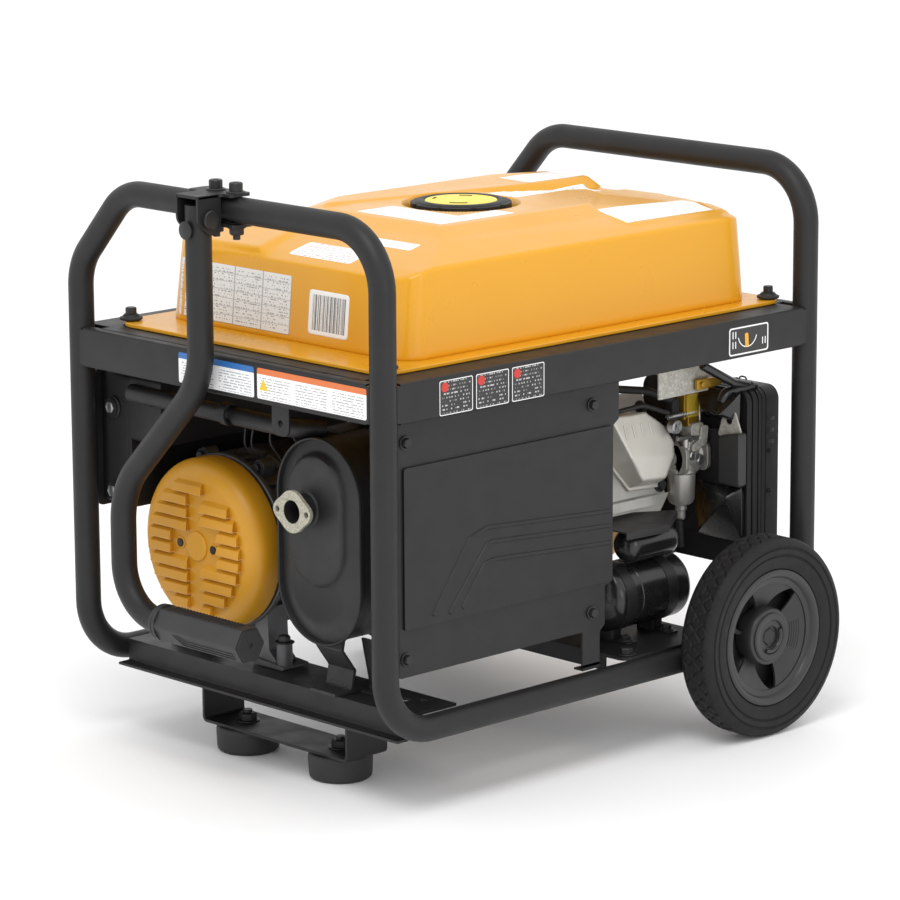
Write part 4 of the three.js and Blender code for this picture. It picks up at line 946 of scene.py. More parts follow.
def add_tank_bolts():
    for i in range(1, 5):
        name = f"tank_bolt_{i}"
        mount = Room(name)
        base = RAIL.z1 + 4.9
        at = place("z", (mount.x, mount.y, base))
        cushion = Shape().add(lathe([(0, 0), (9, 0), (11.4, 1), (11.6, 2.6), (10.6, 3.4), (8.6, 3.6), (7.6, 5.6),
                                     (0, 5.6)], 48), at)
        cushion.add(lathe([(0, 5.4), (7, 5.4), (7, 6.4), (0, 6.4)], 40), at, 1)
        cushion.add(bolt(5.6, 6.6), place("z", (mount.x, mount.y, base + 6.3), 20 * i), 1)
        cushion.add(rod(3.9, -4.5, 0.5, 20), at, 1)
        cushion.piece(name + "_mount", [RUBBER, DARK_STEEL], name, "rubber", 0.25)


def add_cap():
    r = (CAP.x1 - CAP.x0) / 2
    flutes, notch_depth, notch_share = 9, 2.6, 0.28
    outline = []
    for u, v in circle(1, 216):
        wave = abs(((math.atan2(v, u) / (2 * math.pi) * flutes) % 1) - 0.5) * 2
        reach = r - notch_depth * smooth((wave - 1 + notch_share) / notch_share)
        outline.append((reach * u, reach * v))
    at = place("z", (CAP.x, CAP.y, 0))
    top = CAP.z1 - 0.2
    shape = Shape().add(slab(outline, CAP_SEAT + 1.6, top - 2.2), at)
    shape.add(lathe([(0, top - 4), (r - 3.4, top - 4), (r - 3.4, top - 2), (r - 5.6, top - 0.8), (r - 9, top),
                     (r - 12.4, top - 0.2), (r - 13.8, top - 1), (r - 14, top - 2.4), (0, top - 2.4)], 120), at)
    shape.piece("fuel_cap_rim", PLASTIC, "fuel_cap", "black_plastic", 0.9, 3, body="fuel_cap")
    disc = Shape().add(lathe([(0, top - 2.6), (r - 14.2, top - 2.6), (r - 14.2, top - 1.2), (r - 15, top - 0.5),
                              (0, top - 0.1)], 120), at)
    for start, turn, reach in ((200, 40, 26), (20, 30, 25), (110, 16, 28)):
        mark = [(u, v, top - 0.3) for u, v in arc(reach, start, start + turn, 12)]
        disc.add(sweep(mark, [(-1.2, -0.4), (1.2, -0.4), (1.2, 0.4), (-1.2, 0.4)], up=(0, 0, 1)), at, 1)
    disc.piece("fuel_cap_disc", [CAP_YELLOW, PLASTIC], slot="black_plastic", soft=0.15, body="fuel_cap")
    seal = Room("cap_gasket")
    Shape().add(ring(31, 16, seal.z0 + 7, seal.z1, 64), at).piece(
        "cap_gasket_ring", RUBBER, "cap_gasket", "rubber", 0.4, body="cap_gasket")


# ---------------------------------------------------------------- muffler
def stadium(r, half, steps=36):
    """An upright outline with round ends, of radius r about centres half above and below."""
    points = []
    for side in (1, -1):
        points += [(side * r * math.cos(math.pi * i / steps), side * (half + r * math.sin(math.pi * i / steps)))
                   for i in range(steps + 1)]
        points += [(-side * r, side * half * (1 - 2 * i / steps)) for i in range(1, steps)]
    return points


def smooth(share):
    share = min(1, max(0, share))
    return share * share * (3 - 2 * share)


def bean(u, v):
    """How far a point lies inside the raised field on the muffler's end, 0 to 1 with a soft edge."""
    nearest = min(48, max(-4, v))
    inside = 38 - math.hypot(u - 2, v - nearest)
    return smooth(inside / 5 + 0.5)


def add_muffler():
    body = Room("muffler")
    x0, x1, half, shoulder = -262, -52, 42.5, 101.5
    y, z, r = body.y, body.z1 - shoulder, (body.y1 - body.y0) / 2
    out = place("-x", (0, y, z))
    rings = []
    for inset in [58.9] + [57.4 - 1.6 * i for i in range(34)] + [3.2]:
        loop = []
        for u, v in stadium(r - inset, half):
            dome = 5.5 * smooth(inset / 24) - 1.5
            loop.append((u, v, -x0 - 8 + dome + 6 * bean(u, v) * smooth((inset - 4) / 8)))
        rings.append(loop)
    rolled = [(2.2, -5.2), (0.7, -4.4), (0, -5.4), (0, -7.6), (0.8, -8.8), (2.4, -9.2), (3, -11)]
    rings += [[(u, v, -x0 + h) for u, v in stadium(r - inset, half)] for inset, h in rolled]
    for inset, h in ((3, -x1 + 10), (2.4, -x1 + 8.4), (0.6, -x1 + 8), (0, -x1 + 7), (0, -x1 + 4.6), (0.8, -x1 + 3.6),
                     (3, -x1 + 3), (12, -x1 + 1), (24, -x1), (40, -x1)):
        rings.append([(u, v, h) for u, v in stadium(r - inset, half)])
    shape = Shape().add(loft(rings), out)
    outlet_y, outlet_z = -79, 277
    pipe = place("-x", (0, outlet_y, outlet_z))
    shape.add(lathe([(12, 262), (22, 260.5), (19, 263), (15.6, 265.4), (15, 270), (15, 279.6), (12, 279.6),
                     (12, 262)], 48), pipe)
    shape.add(rod(14, -54, 38, 40), place("x", (0, y - 12, z + 14)))
    strap_y = (y - 22, y + 14)
    strap = folded([(-258, 96.2), (-222, 96.2), (-222, 99.2), (-234, 99.2, 2), (-230, 118, 2), (-246, 140, 3),
                    (-240, 168), (-243, 168), (-249.5, 140, 3), (-233.5, 118, 2), (-237, 99.2, 3), (-258, 99.2)])
    shape.add(slab(strap, -strap_y[1], -strap_y[0]), place("-y"))
    brace = folded([(-228, 96.2), (-200, 96.2), (-200, 98.6), (-212, 98.6, 2), (-224, 150), (-227, 150),
                    (-216, 98.6, 3), (-228, 98.6)])
    shape.add(slab(brace, -strap_y[0] + 4, -strap_y[0] + 26), place("-y"))
    shape.piece("muffler_shell", HEAT_BLACK, "muffler", "black_metal")
    for letter, at in (("a", y - 12), ("b", y + 6)):
        head = Shape().add(bolt(5.5, 5, 8), place("z", (-232, at, 98.5)))
        head.piece("muffler_bolt_" + letter, DARK_STEEL, slot="steel")

    lobes = []
    for i in range(96):
        a = 2 * math.pi * i / 96
        reach = 19.2 + 8.3 * max(0, math.cos(a) ** 8) + 1.4 * math.cos(2 * a + math.pi)
        lobes.append((reach * math.cos(a), reach * math.sin(a)))
    holes = [circle(3.1, 20, (20.4, 0)), circle(3.1, 20, (-20.4, 0)), circle(11.4, 40)]
    plate = Shape().add(slab(lobes, 279, 283, holes), pipe)
    plate.piece("muffler_outlet_flange", GASKET, slot="zinc", soft=0.5)
    bore = Shape().add(ring(12.1, 11, 262, 282.4, 40), pipe).add(rod(11.2, 262, 263, 40), pipe)
    bore.piece("muffler_bore", HEAT_BLACK, slot="black_metal")


# ---------------------------------------------------------------- alternator
CRANK = Room("rotor_and_flywheel")


def louvre(u0, u1, top, bottom, lift):
    """A scoop pressed out of a face, flush along its top edge. The solid is closed along its bottom edge, where the
    shade of the opening is painted as a dark strip.
    """
    lean = (u1 - u0) * 0.06 + 1.5
    upper = [(u0 + lean, top, -0.6), (u1 - lean, top, -0.6), (u0 + lean, bottom, -0.6), (u1 - lean, bottom, -0.6)]
    lower = [(u0 + 0.8, bottom, lift), (u1 - 0.8, bottom, lift), (u0 + 1.6, bottom + 2, lift),
             (u1 - 1.6, bottom + 2, lift),
             (u0 + 2.2, (top + bottom) / 2 + 2, lift * 0.72), (u1 - 2.2, (top + bottom) / 2 + 2, lift * 0.72)]
    return hull(upper + lower)


def add_end_cover():
    cover = Room("alternator_end_cover")
    y, z = cover.y, cover.z
    r = (cover.y1 - cover.y0) / 2
    face = -cover.x0 - 4
    depth = cover.x1 + face
    out = place("-x", (0, y, z))
    rim = [(r - 17 + v, face - 18 + u) for u, v in arc(17, 0, 90, 12)]
    profile = [(0, face - 1.6), (r - 22, face - 1.6)] + rim
    profile += [(r, face - depth + 3), (r - 0.6, face - depth), (r - 3, face - depth), (r - 3, face - 14),
                (r - 16, face - 5), (0, face - 5)]
    shape = Shape().add(lathe(profile, 144), out)
    rows, pitch, shortest = 10, 12.9, 16
    opening_shade, lip_highlights = Shape(), Shape()
    for column in (-1, 1):
        for i in range(rows):
            v = 59 - i * pitch - (4 if column > 0 else 0)
            reach = math.sqrt(max(0, (r - 17) ** 2 - (abs(v) + 3) ** 2))
            if reach < shortest or (column > 0 and i == 0):
                continue
            past_screw = 33 if abs(v) < 17 else 8.5
            ends = (-reach, 14) if i == 0 else tuple(sorted((column * past_screw, column * reach)))
            where = out @ Matrix.Translation((0, 0, face - 1.6))
            shape.add(louvre(*ends, v + 6.2, v - 5.2, 6.5), where)
            # Each louvre gets a lip plate in the paler lip colour: painted highlight on its lit face.
            lip_highlights.add(block((ends[0] + 1.2, ends[1] - 1.2), (v - 5.7, v - 5.1), (0.2, 6.3)), where)
            # A dark strip under each louvre paints the shade in its opening.
            opening_shade.add(block((ends[0] + 3, ends[1] - 3), (v - 6.6, v - 5.6), (0.02, 1.2)), where)
    shape.add(lathe([(0, face - 2), (15, face - 2), (15, face - 0.2), (13.6, face + 0.8), (0, face + 1)], 48), out)
    shape.piece("alternator_end_cover_shell", COVER_PAINT, "alternator_end_cover", "cover_yellow", 0.9, 3)
    # The lip plates carry a painted highlight.
    lip_highlights.piece("alternator_end_cover_lip_highlights", LIP_HIGHLIGHT_PAINT, slot="cover_yellow", soft=0.2)
    # The dark strips are painted shade under the louvres.
    opening_shade.piece("alternator_end_cover_opening_shade", HEAT_BLACK, slot="black_plastic")
    screw_reach = 24.5
    for end, side in (("near", -1), ("far", 1)):
        where = out @ Matrix.Translation((side * screw_reach, 0, 0))
        rim = Shape().add(ring(6.6, 4.9, face - 2, face - 0.7, 32), where)
        rim.piece("end_cover_screw_ring_" + end, COVER_PAINT, slot="cover_yellow", soft=0.3)
        head = Shape().add(bolt(4.2, 3.4), where @ Matrix.Translation((0, 0, face - 3)))
        head.piece("end_cover_screw_" + end, DARK_STEEL, slot="steel", soft=0.2)


def add_alternator():
    housing = Room("alternator_housing")
    y, z = CRANK.y, CRANK.z
    at = place("x", (0, y, z))
    x0 = housing.x0
    lip = x0 + 5
    bell = [(70, lip - 3), (86.4, lip - 3), (87.4, lip - 2), (87.4, lip + 3), (84, lip + 5), (82, lip + 9),
            (82, lip + 34), (86, lip + 38), (86, lip + 42), (70, lip + 42), (70, lip - 3)]
    shape = Shape().add(lathe(bell, 120), at)
    for i in range(12):
        fin = block((80, 86.5), (-1.6, 1.6), (lip + 6, lip + 38))
        shape.add(fin, at @ Matrix.Rotation(math.radians(30 * i + 12), 4, "Z"))
    for a in (62, 118, 205, 335):
        lug = folded([(78, -9), (96, -6, 5), (96, 6, 5), (78, 9)])
        where = at @ Matrix.Rotation(math.radians(a), 4, "Z")
        shape.add(slab(lug, lip + 6, lip + 22), where)
        shape.add(bolt(5, 4, 7), where @ Matrix.Translation((89, 0, lip + 6)) @ Matrix.Scale(-1, 4, (0, 0, 1)), 1)
    for side in (-1, 1):
        leg = folded([(side * 40, -z + 96.5), (side * 70, -z + 96.5), (side * 70, -z + 103, 2),
                      (side * 60, -z + 112, 6), (side * 58, -60), (side * 40, -70)])
        shape.add(slab(leg, lip, lip + 26), at)
        rib = folded([(side * 40, -z + 103), (side * 86, -z + 100, 2), (side * 84, -z + 96.5),
                      (side * 40, -z + 96.5)])
        shape.add(slab(rib, lip - 4, lip + 30), at)
        shape.add(rod(8, -z + 96.5, -z + 122, 32), place("z", (lip + 6, y + side * 76, z)))
        shape.add(bolt(6.4, 6, 10), place("z", (lip + 6, y + side * 76, 122)), 1)
    shape.piece("alternator_bell", [DARK_CAST, DARK_STEEL], "alternator_housing", "cast_metal", 0.7)

    band = [(72, lip + 42), (84, lip + 42), (86.6, lip + 44), (86.6, lip + 140), (84, lip + 142), (72, lip + 142),
            (72, lip + 42)]
    stator = Shape().add(lathe(band, 120), at)
    for k in range(3):
        stator.add(ring(87.4, 84, lip + 58 + k * 32, lip + 61 + k * 32, 96), at)
    stator.piece("alternator_stator_band", HEAT_BLACK, slot="black_metal", soft=0.4)
    flange = [(66, lip + 142), (86, lip + 142), (88, lip + 146), (82, lip + 152), (82, lip + 206), (92, lip + 212),
              (92, housing.x1), (84, housing.x1), (84, lip + 216), (66, lip + 206), (66, lip + 142)]
    adapter = Shape().add(lathe(flange, 120), at)
    for i in range(10):
        adapter.add(block((80, 91), (-2, 2), (lip + 150, lip + 212)),
                    at @ Matrix.Rotation(math.radians(36 * i), 4, "Z"))
    adapter.piece("alternator_engine_adapter", DARK_CAST, slot="cast_metal", soft=0.6)
    band_ring = Shape().add(ring(88.4, 84, lip + 143.2, lip + 145.6, 120), at)
    band_ring.piece("alternator_bright_ring", STEEL, slot="steel", soft=0.3)
    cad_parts["rotor_and_flywheel"].data.materials[0] = DARK_CAST
    coil = Shape()
    for i in range(18):
        a = math.radians(20 * i)
        where = at @ Matrix.Rotation(a, 4, "Z") @ Matrix.Translation((61, 0, lip + 12))
        coil.add(lathe([(0, -6), (5.4, -6), (7, 0), (6.6, 12), (0, 14)], 16), where)
    coil.piece("alternator_end_winding", COPPER, slot="steel")


# ---------------------------------------------------------------- engine
SLANT = math.radians(18)


def slanted(x, along, up):
    """A point given along the slanted cylinder, away from the crank line, as a point of the frame."""
    c, s = math.cos(SLANT), math.sin(SLANT)
    return Vector((x, CRANK.y - along * c + up * s, CRANK.z + along * s + up * c))


def slanted_block(x, along, up):
    return hull([slanted(a, b, c) for a in x for b in along for c in up])


def add_engine():
    case = Room("crankcase")
    mid = case.x1 - 62
    y, z = CRANK.y, CRANK.z
    base = case.z0
    profile = folded([(y - 74, base + 9, 4), (y - 74, z + 30, 14), (y - 46, z + 66, 20), (y + 40, z + 66, 20),
                      (y + 78, z + 20, 18),
                      (y + 78, base + 9, 4), (y + 88, base + 9, 3), (y + 88, base), (y - 84, base),
                      (y - 84, base + 9, 3)])
    shape = Shape().add(slab(profile, mid - 62, mid + 56), place("x"))
    wall = folded([(y - 70, base + 12, 4), (y - 70, z + 28, 12), (y - 44, z + 62, 18), (y + 38, z + 62, 18),
                   (y + 74, z + 18, 16), (y + 74, base + 12, 4)])
    shape.add(slab(wall, mid + 55, mid + 62), place("x"))
    for k in range(5):
        x = mid - 48 + k * 22
        rib = folded([(y - 79, base + 8, 2), (y - 79, z + 10, 4), (y - 70, z + 34), (y - 70, base + 8)])
        shape.add(slab(rib, x, x + 3.4), place("x"))
    for k in range(6):
        along = 90 + k * 12
        shape.add(slanted_block((mid - 56, mid + 56), (along, along + 3.4), (-50, 52)))
    shape.add(slanted_block((mid - 46, mid + 46), (66, 160), (-44, 44)))
    shape.add(lathe([(0, 32), (60, 32), (60, mid - 60), (0, mid - 60)], 64), place("x", (0, y, z)))
    filler = place("y", (mid + 40, 0, 128))
    shape.add(lathe([(9.8, y + 60), (13, y + 60), (13, y + 86), (9.8, y + 86), (9.8, y + 60)], 40), filler)
    shape.piece("crankcase_casting", CAST, "crankcase", "cast_metal", 0.9)

    top = Shape()
    for k in range(3):
        along = 168 + k * 11
        top.add(slanted_block((mid - 58, mid + 58), (along, along + 3.4), (-54, 58)))
    top.add(slanted_block((mid - 50, mid + 50), (160.3, 199), (-48, 50)))
    top.add(slanted_block((mid - 52, mid + 26), (192, 205), (-60, -50)))
    top.add(rod(20, 0, 12, 40), place("x", (mid + 49, -104, 262)))
    for a, up in ((-36, -42), (46, -41), (-44, 44), (44, 40)):
        spot = slanted(mid + a, 199, up)
        where = Matrix.Translation(spot) @ Matrix.Rotation(math.radians(90 - 18), 4, "X")
        top.add(bolt(5.4, 5, 7.6), where, 1)
    top.add(hull([slanted(a, b, c) for a, c in ((mid - 56, -50), (mid + 62, -50), (mid - 56, -66), (mid + 40, -70))
                  for b in (150, 196)]))
    top.piece("cylinder_head_casting", [CAST, DARK_STEEL], "cylinder_head", "cast_metal", 1.0)

    shape = Shape()
    outline = [(-34, 36), (-22, 39), (22, 37), (48, 16), (56, -4), (52, -20), (40, -40), (0, -38), (-16, -13),
               (-28, 31)]
    shape.add(hull([slanted(mid + a, 201, up) for a, up in outline] +
                   [slanted(mid + 10 + (a - 10) * 0.9, 229, up * 0.86 + 2) for a, up in outline if up > -25] +
                   [slanted(mid + 10 + (a - 10) * 0.86, 222, up * 0.9) for a, up in outline if up < -25]))
    data = cast_smooth(shape, "rocker_cover_pressing", 1.4, 7)
    made = bpy.data.objects.new("rocker_cover_pressing", data)
    settle(made, "frame", ROCKER, "rocker_cover")
    data.set_sharp_from_angle(angle=math.pi)
    rim = Shape().add(hull([slanted(mid + 10 + (a - 10) * 1.07, along, up * 1.07) for a,
                            up in outline for along in (199.3, 202.6)]))
    rim.piece("rocker_cover_rim", ROCKER, slot="zinc", soft=1.2, steps=3)
    # Four short ribs stand on the cover's outer face.
    pad = Shape()
    for k in range(4):
        low, high = slanted(mid - 14 + k * 12, 229.1, 10), slanted(mid - 14 + k * 12, 229.1, 24)
        pad.add(sweep([low, high], rounded((-1.6, 1.6), (-0.7, 0.7), 0.6, 3), up=(0, -1, 0)))
    pad.piece("rocker_cover_ribs", ROCKER, slot="zinc")

    plug = Room("spark_plug_cap")
    spot = Vector((plug.x0 + 9, plug.y, plug.z0))
    boot = Shape().add(lathe([(0, 0), (8, 0), (9, 2), (9, 12), (8, 16), (8.6, 20), (6, 25.5), (0, 26)], 40),
                       place("z", spot))
    boot.add(sweep([spot + Vector((0, 0, 17)), spot + Vector((25, 0, 17))], circle(6, 24)))
    boot.piece("spark_plug_boot", RUBBER, "spark_plug_cap", "black_plastic", 0.5)
    lead = bend([spot + Vector((24, 0, 17)), spot + Vector((52, -4, 24)), spot + Vector((70, 30, 34)),
                 spot + Vector((70, 90, 10))], [16, 18], 8)
    Shape().add(sweep(lead, circle(3.4, 20))).piece("spark_plug_lead", WIRE_BLACK, slot="black_plastic")

    cap = Room("oil_filler_cap")
    out = place("y", (cap.x, 0, cap.z))
    stick = Shape().add(lathe([(0, cap.y0), (9.4, cap.y0), (9.4, cap.y1 - 18.5), (14, cap.y1 - 18), (14, cap.y1 - 11),
                               (12.6, cap.y1 - 9.8), (0, cap.y1 - 9.6)], 48), out)
    stick.add(slab(rounded((-3, 3), (-10, 10), 2), cap.y1 - 10, cap.y1), out)
    stick.piece("oil_filler_cap_knob", PLASTIC, "oil_filler_cap", "black_plastic", 0.6, body="oil_filler_cap")


def add_carburettor():
    carb = Room("carburettor")
    x0, x1 = carb.x0, carb.x1
    y, z = -122, 262
    bowl_x, bowl_y = x0 + 14, y - 4
    along = place("x", (0, y, z))
    shape = Shape()
    shape.add(lathe([(10, x0), (19, x0), (19, x0 + 4), (15, x0 + 8), (15, x1 - 9), (18, x1 - 6), (18, x1), (10, x1),
                     (10, x0)], 48), along)
    shape.add(slab(rounded((-24, 24), (-15, 15), 8), x0, x0 + 5), along)
    shape.add(slab(rounded((-24, 24), (-15, 15), 8), x1 - 5, x1), along)
    shape.add(slab(rounded((x0 + 8, x1 - 9), (y - 18, y + 14), 4), z - 14, z + 18))
    shape.add(lathe([(0, 196.5), (3, 196.5), (4.6, 198), (4.6, 206), (6.2, 207), (6.2, 212), (9.4, 213), (12.4, 215),
                     (14, 219), (14.6, 246), (16.2, 247), (16.2, 250.5), (15, 251.5), (15, 256), (0, 256)], 56),
              place("z", (bowl_x, bowl_y, 0)))
    for dx, dy in ((-9, -14), (11, -14)):
        shape.add(rod(3.2, z + 12, z + 22, 20), place("z", (bowl_x + dx, bowl_y + dy, 0)))
    shape.piece("carburettor_body", CAST, "carburettor", "cast_metal", 0.7)
    trim = Shape()
    dial = place("-y", (x0 - 14, 0, z + 38))
    trim.add(lathe([(0, 138), (7.2, 138), (7.2, 146), (6.2, 147), (4.8, 147), (4.4, 146), (0, 146)], 40), dial)
    trim.add(block((-4, 4), (-0.8, 0.8), (145, 147.6)), dial @ Matrix.Rotation(0.6, 4, "Z"))
    trim.add(block((-4, 4), (-0.8, 0.8), (145, 147.6)), dial @ Matrix.Rotation(2.17, 4, "Z"))
    trim.add(tube([(x0 - 8, -140, z + 24), (x0 + 14, -140, z + 22), (x0 + 32, -140, z + 19)], [10], 2.6, 16))
    trim.add(tube([(x0 + 34, -132, z + 34), (x0 + 34, -132, 326)], [], 1.9, 16))
    trim.add(lathe([(0, 0), (4.8, 0), (4.8, 6), (3.4, 7), (3.4, 12), (0, 12)], 24),
             place("-y", (x0 + 12, -138, z + 4)))
    trim.add(lathe([(0, 0), (5.6, 0), (5.6, 4), (4, 5), (0, 5)], 24), place("-y", (x0 + 24, -140, z - 2)))
    trim.add(bolt(4.2, 4), place("-z", (bowl_x, bowl_y, 205)))
    trim.piece("carburettor_screws_and_rods", STEEL, slot="steel", soft=0.25)
    lever = Shape()
    arm = folded([(x0 + 12, z + 6, 3), (x0 + 34, z + 14, 3), (x0 + 36, z + 32, 3), (x0 + 26, z + 34, 3),
                  (x0 + 24, z + 20, 3), (x0 + 12, z + 14, 3)])
    lever.add(slab(arm, 141, 143.4), place("-y"))
    lever.add(slab(rounded((x0 + 14, x0 + 32), (z + 18, z + 36), 4), 124, 140), place("-y"))
    lever.piece("throttle_lever", ZINC, slot="zinc", soft=0.6)
    spring = []
    for i in range(161):
        a = i / 160
        spring.append((x0 - 16 + 44 * a, -134 + 2.4 * math.cos(a * 2 * math.pi * 20),
                       z + 46 + 2.4 * math.sin(a * 2 * math.pi * 20)))
    Shape().add(sweep(spring, circle(0.45, 6))).piece("governor_spring", STEEL, slot="steel")
    dark = Shape()
    dark.add(tube([(bowl_x - 2, bowl_y, 196), (bowl_x - 2, bowl_y - 2, 168)], [], 3.6, 20))
    dark.add(slab(rounded((x0 - 4, x0 + 6), (z + 20, z + 62), 3), 120, 130), place("-y"))
    dark.add(tube([(x0 + 2, -126, z + 60), (x0 - 30, -120, z + 74), (x0 - 70, -90, z + 78)], [16], 4, 18))
    dark.add(tube([(x0 - 12, -132, z + 50), (x0 - 44, -126, z + 62), (x0 - 74, -118, z + 58)], [14], 2.4, 14))
    dark.piece("carburettor_hoses", RUBBER, slot="rubber", soft=0.4)
    coil = Shape().add(slab(rounded((x0 + 12, x0 + 30), (z + 42, z + 66), 2), 122, 136), place("-y"))
    coil.piece("fuel_solenoid", SOLENOID, slot="brass", soft=0.8, steps=3)
    coil_cap = Shape().add(slab(rounded((x0 + 14, x0 + 28), (z + 30, z + 43), 2), 123, 135), place("-y"))
    coil_cap.add(slab(rounded((x0 + 9, x0 + 13), (z + 40, z + 68), 1), 124, 134), place("-y"))
    coil_cap.piece("fuel_solenoid_yoke", BRASS, slot="brass", soft=0.5)

    choke = Room("choke_lever")
    lever_y = choke.y0
    arm = Shape().add(slab(rounded((choke.x0 + 8, choke.x1), (lever_y, lever_y + 12), 5), choke.z0, choke.z0 + 2))
    arm.add(slab(folded([(choke.x0, choke.y1 - 9, 2), (choke.x0 + 22, lever_y + 2), (choke.x0 + 30, lever_y + 9),
                         (choke.x0 + 8, choke.y1, 2)]), choke.z0, choke.z0 + 2))
    arm.add(slab(rounded((choke.x0, choke.x0 + 8), (choke.y1 - 8, choke.y1), 2.5), choke.z0, choke.z1))
    arm.piece("choke_lever_arm", PLASTIC, "choke_lever", "black_plastic", 0.5, body="choke")


def add_air_cleaner():
    base, cover = Room("air_cleaner_base"), Room("air_cleaner_cover")
    x = base.x1 - 22
    y0, y1, z0, z1 = cover.y0, -42, cover.z0, cover.z1
    outline = rounded((y0, y1), (z0, z1), 14, 8)
    inset = rounded((y0 + 2.5, y1 - 2.5), (z0 + 2.5, z1 - 2.5), 12, 8)
    shape = Shape()
    out = place("x")
    shape.add(slab(outline, x, x + 7), out)
    shape.add(slab(inset, x + 6.5, x + 9.5), out)
    shape.add(slab(outline, x + 9, x + 16), out)
    shape.add(slab(inset, x + 15.5, x + 18), out)
    shape.add(slab(outline, x + 17.6, x + 22), out)
    duct = folded([(-184, 232, 4), (-98, 232, 6), (-98, 284, 6), (-150, 292, 6), (-184, 292, 4)])
    shape.add(slab(duct, x - 8, x + 1), out)
    shape.add(slab(rounded((-184, -100), (180, 232), 6), x - 5, x + 1), out)
    foot = folded([(-92, z0, 3), (-56, z0, 3), (-56, z0 + 10, 3), (-92, z0 + 10, 3)])
    shape.add(slab(foot, base.x0, x + 1), out)
    shape.piece("air_cleaner_base_shell", PLASTIC, "air_cleaner_base", "black_plastic", 1.1, 3)

    box_face = Shape().add(slab(folded([(-194, 238, 3), (-166, 240, 3), (-166, 288, 3), (-194, 294, 3)]), x - 20,
                                x - 7.6), out)
    box_face.piece("air_cleaner_intake_box", RIM_PLASTIC, slot="black_plastic", soft=1.6, steps=3)
    plate = Shape().add(slab(folded([(-190, 292, 2), (-158, 286, 2), (-166, 312, 3), (-180, 316, 3)]), x - 12, x - 10,
                             [circle(4.6, 24, (-173, 304))]), out)
    plate.piece("air_cleaner_bracket", ZINC, slot="zinc", soft=0.4)
    dark = Shape()
    dark.add(tube([(x - 52, -172, 366), (x - 6, -174, 342), (x + 26, -176, 334)], [30], 4.6, 24))
    dark.add(tube([(x - 18, -168, 322), (x - 14, -170, 332), (x + 20, -176, 336)], [8], 5.4, 24))
    dark.add(hull([(x - 8, -186, 334), (x - 8, -120, 336), (x - 30, -176, 312), (x - 30, -150, 316),
                   (x - 2, -180, 300), (x - 2, -130, 300), (x - 16, -184, 326)]))
    dark.add(hull([(x - 6, -188, 236), (x - 6, -120, 236), (x - 22, -178, 226), (x - 16, -140, 190),
                   (x - 2, -186, 176), (x - 2, -120, 176)]))
    dark.piece("intake_duct_and_hoses", GLOSS_PLASTIC, slot="black_plastic", soft=2.2, steps=3)
    wires = Shape()
    wires.add(tube([(x - 14, -150, 338), (x - 12, -150, 346), (x - 2, -152, 348), (x + 4, -152, 340),
                    (x + 24, -152, 340)], [3, 4, 4], 0.9, 10, 6))
    wires.add(tube([(x + 18, -154, 330), (x + 26, -154, 342), (x + 40, -154, 338), (x + 30, -154, 330)], [4, 4], 0.9,
                   10, 6))
    wires.piece("air_cleaner_wire_clips", DARK_STEEL, slot="steel")

    shape = Shape()
    low, high = cover.x0, cover.x1
    for inset_by, at, top in ((0, low, low + 5), (0.9, low + 4.9, low + 6.3), (0, low + 6.2, high - 3)):
        loop = rounded((y0 + inset_by, y1 - inset_by), (z0 + inset_by, z1 - inset_by), 14 - inset_by, 8)
        shape.add(slab(loop, at, top), out)
    crown = rounded((y0 + 6, y1 - 6), (z0 + 6, z1 - 6), 12, 8)
    rings = [[(u, v, high - 3.01) for u, v in rounded((y0, y1), (z0, z1), 14, 8)],
             [(u, v, high - 1) for u, v in rounded((y0 + 1.6, y1 - 1.6), (z0 + 1.6, z1 - 1.6), 13, 8)],
             [(u, v, high) for u, v in crown], [(u * 0.5 + (y0 + y1) / 4, v * 0.5 + (z0 + z1) / 4, high) for u,
                                                v in crown]]
    shape.add(loft(rings), out)
    for k in range(5):
        v = z0 + 36 + k * 28
        shape.add(slab(rounded((y0 + 26, y1 - 26), (v, v + 5), 2.4), high - 1, high), out)
    side = place("-y")
    for k in range(3):
        v = z1 - 33 - k * 12
        shape.add(slab(rounded((low + 8, low + 20), (v - 3.6, v + 3.6), 0.8, 2), -y0 - 0.2, -y0 + 0.25,
                       [rounded((low + 9.4, low + 18.6), (v - 2.4, v + 2.4), 0.5, 2)]), side)
    shape.piece("air_cleaner_cover_shell", PLASTIC, "air_cleaner_cover", "black_plastic", 0.8,
                body="air_cleaner_cover")
    dots = Shape()
    for k in range(3):
        v = z1 - 33 - k * 12
        dots.add(slab(rounded((low + 9.6, low + 18.4), (v - 2.3, v + 2.3), 0.5, 2), -y0 - 1, -y0 + 0.06), side)
    for v in (z0 + 118, z0 + 76):
        dots.add(lathe([(0, -y0 - 1), (2.7, -y0 - 1), (2.7, -y0 + 0.9), (1.4, -y0 + 0.9), (1.2, -y0 + 0.2),
                        (0, -y0 + 0.2)], 24), place("-y", (low + 11, 0, v)))
    dots.piece("air_cleaner_cover_vents", GLOSS_PLASTIC, slot="black_plastic", body="air_cleaner_cover")
    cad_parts["air_filter"].data.materials[0] = FOAM


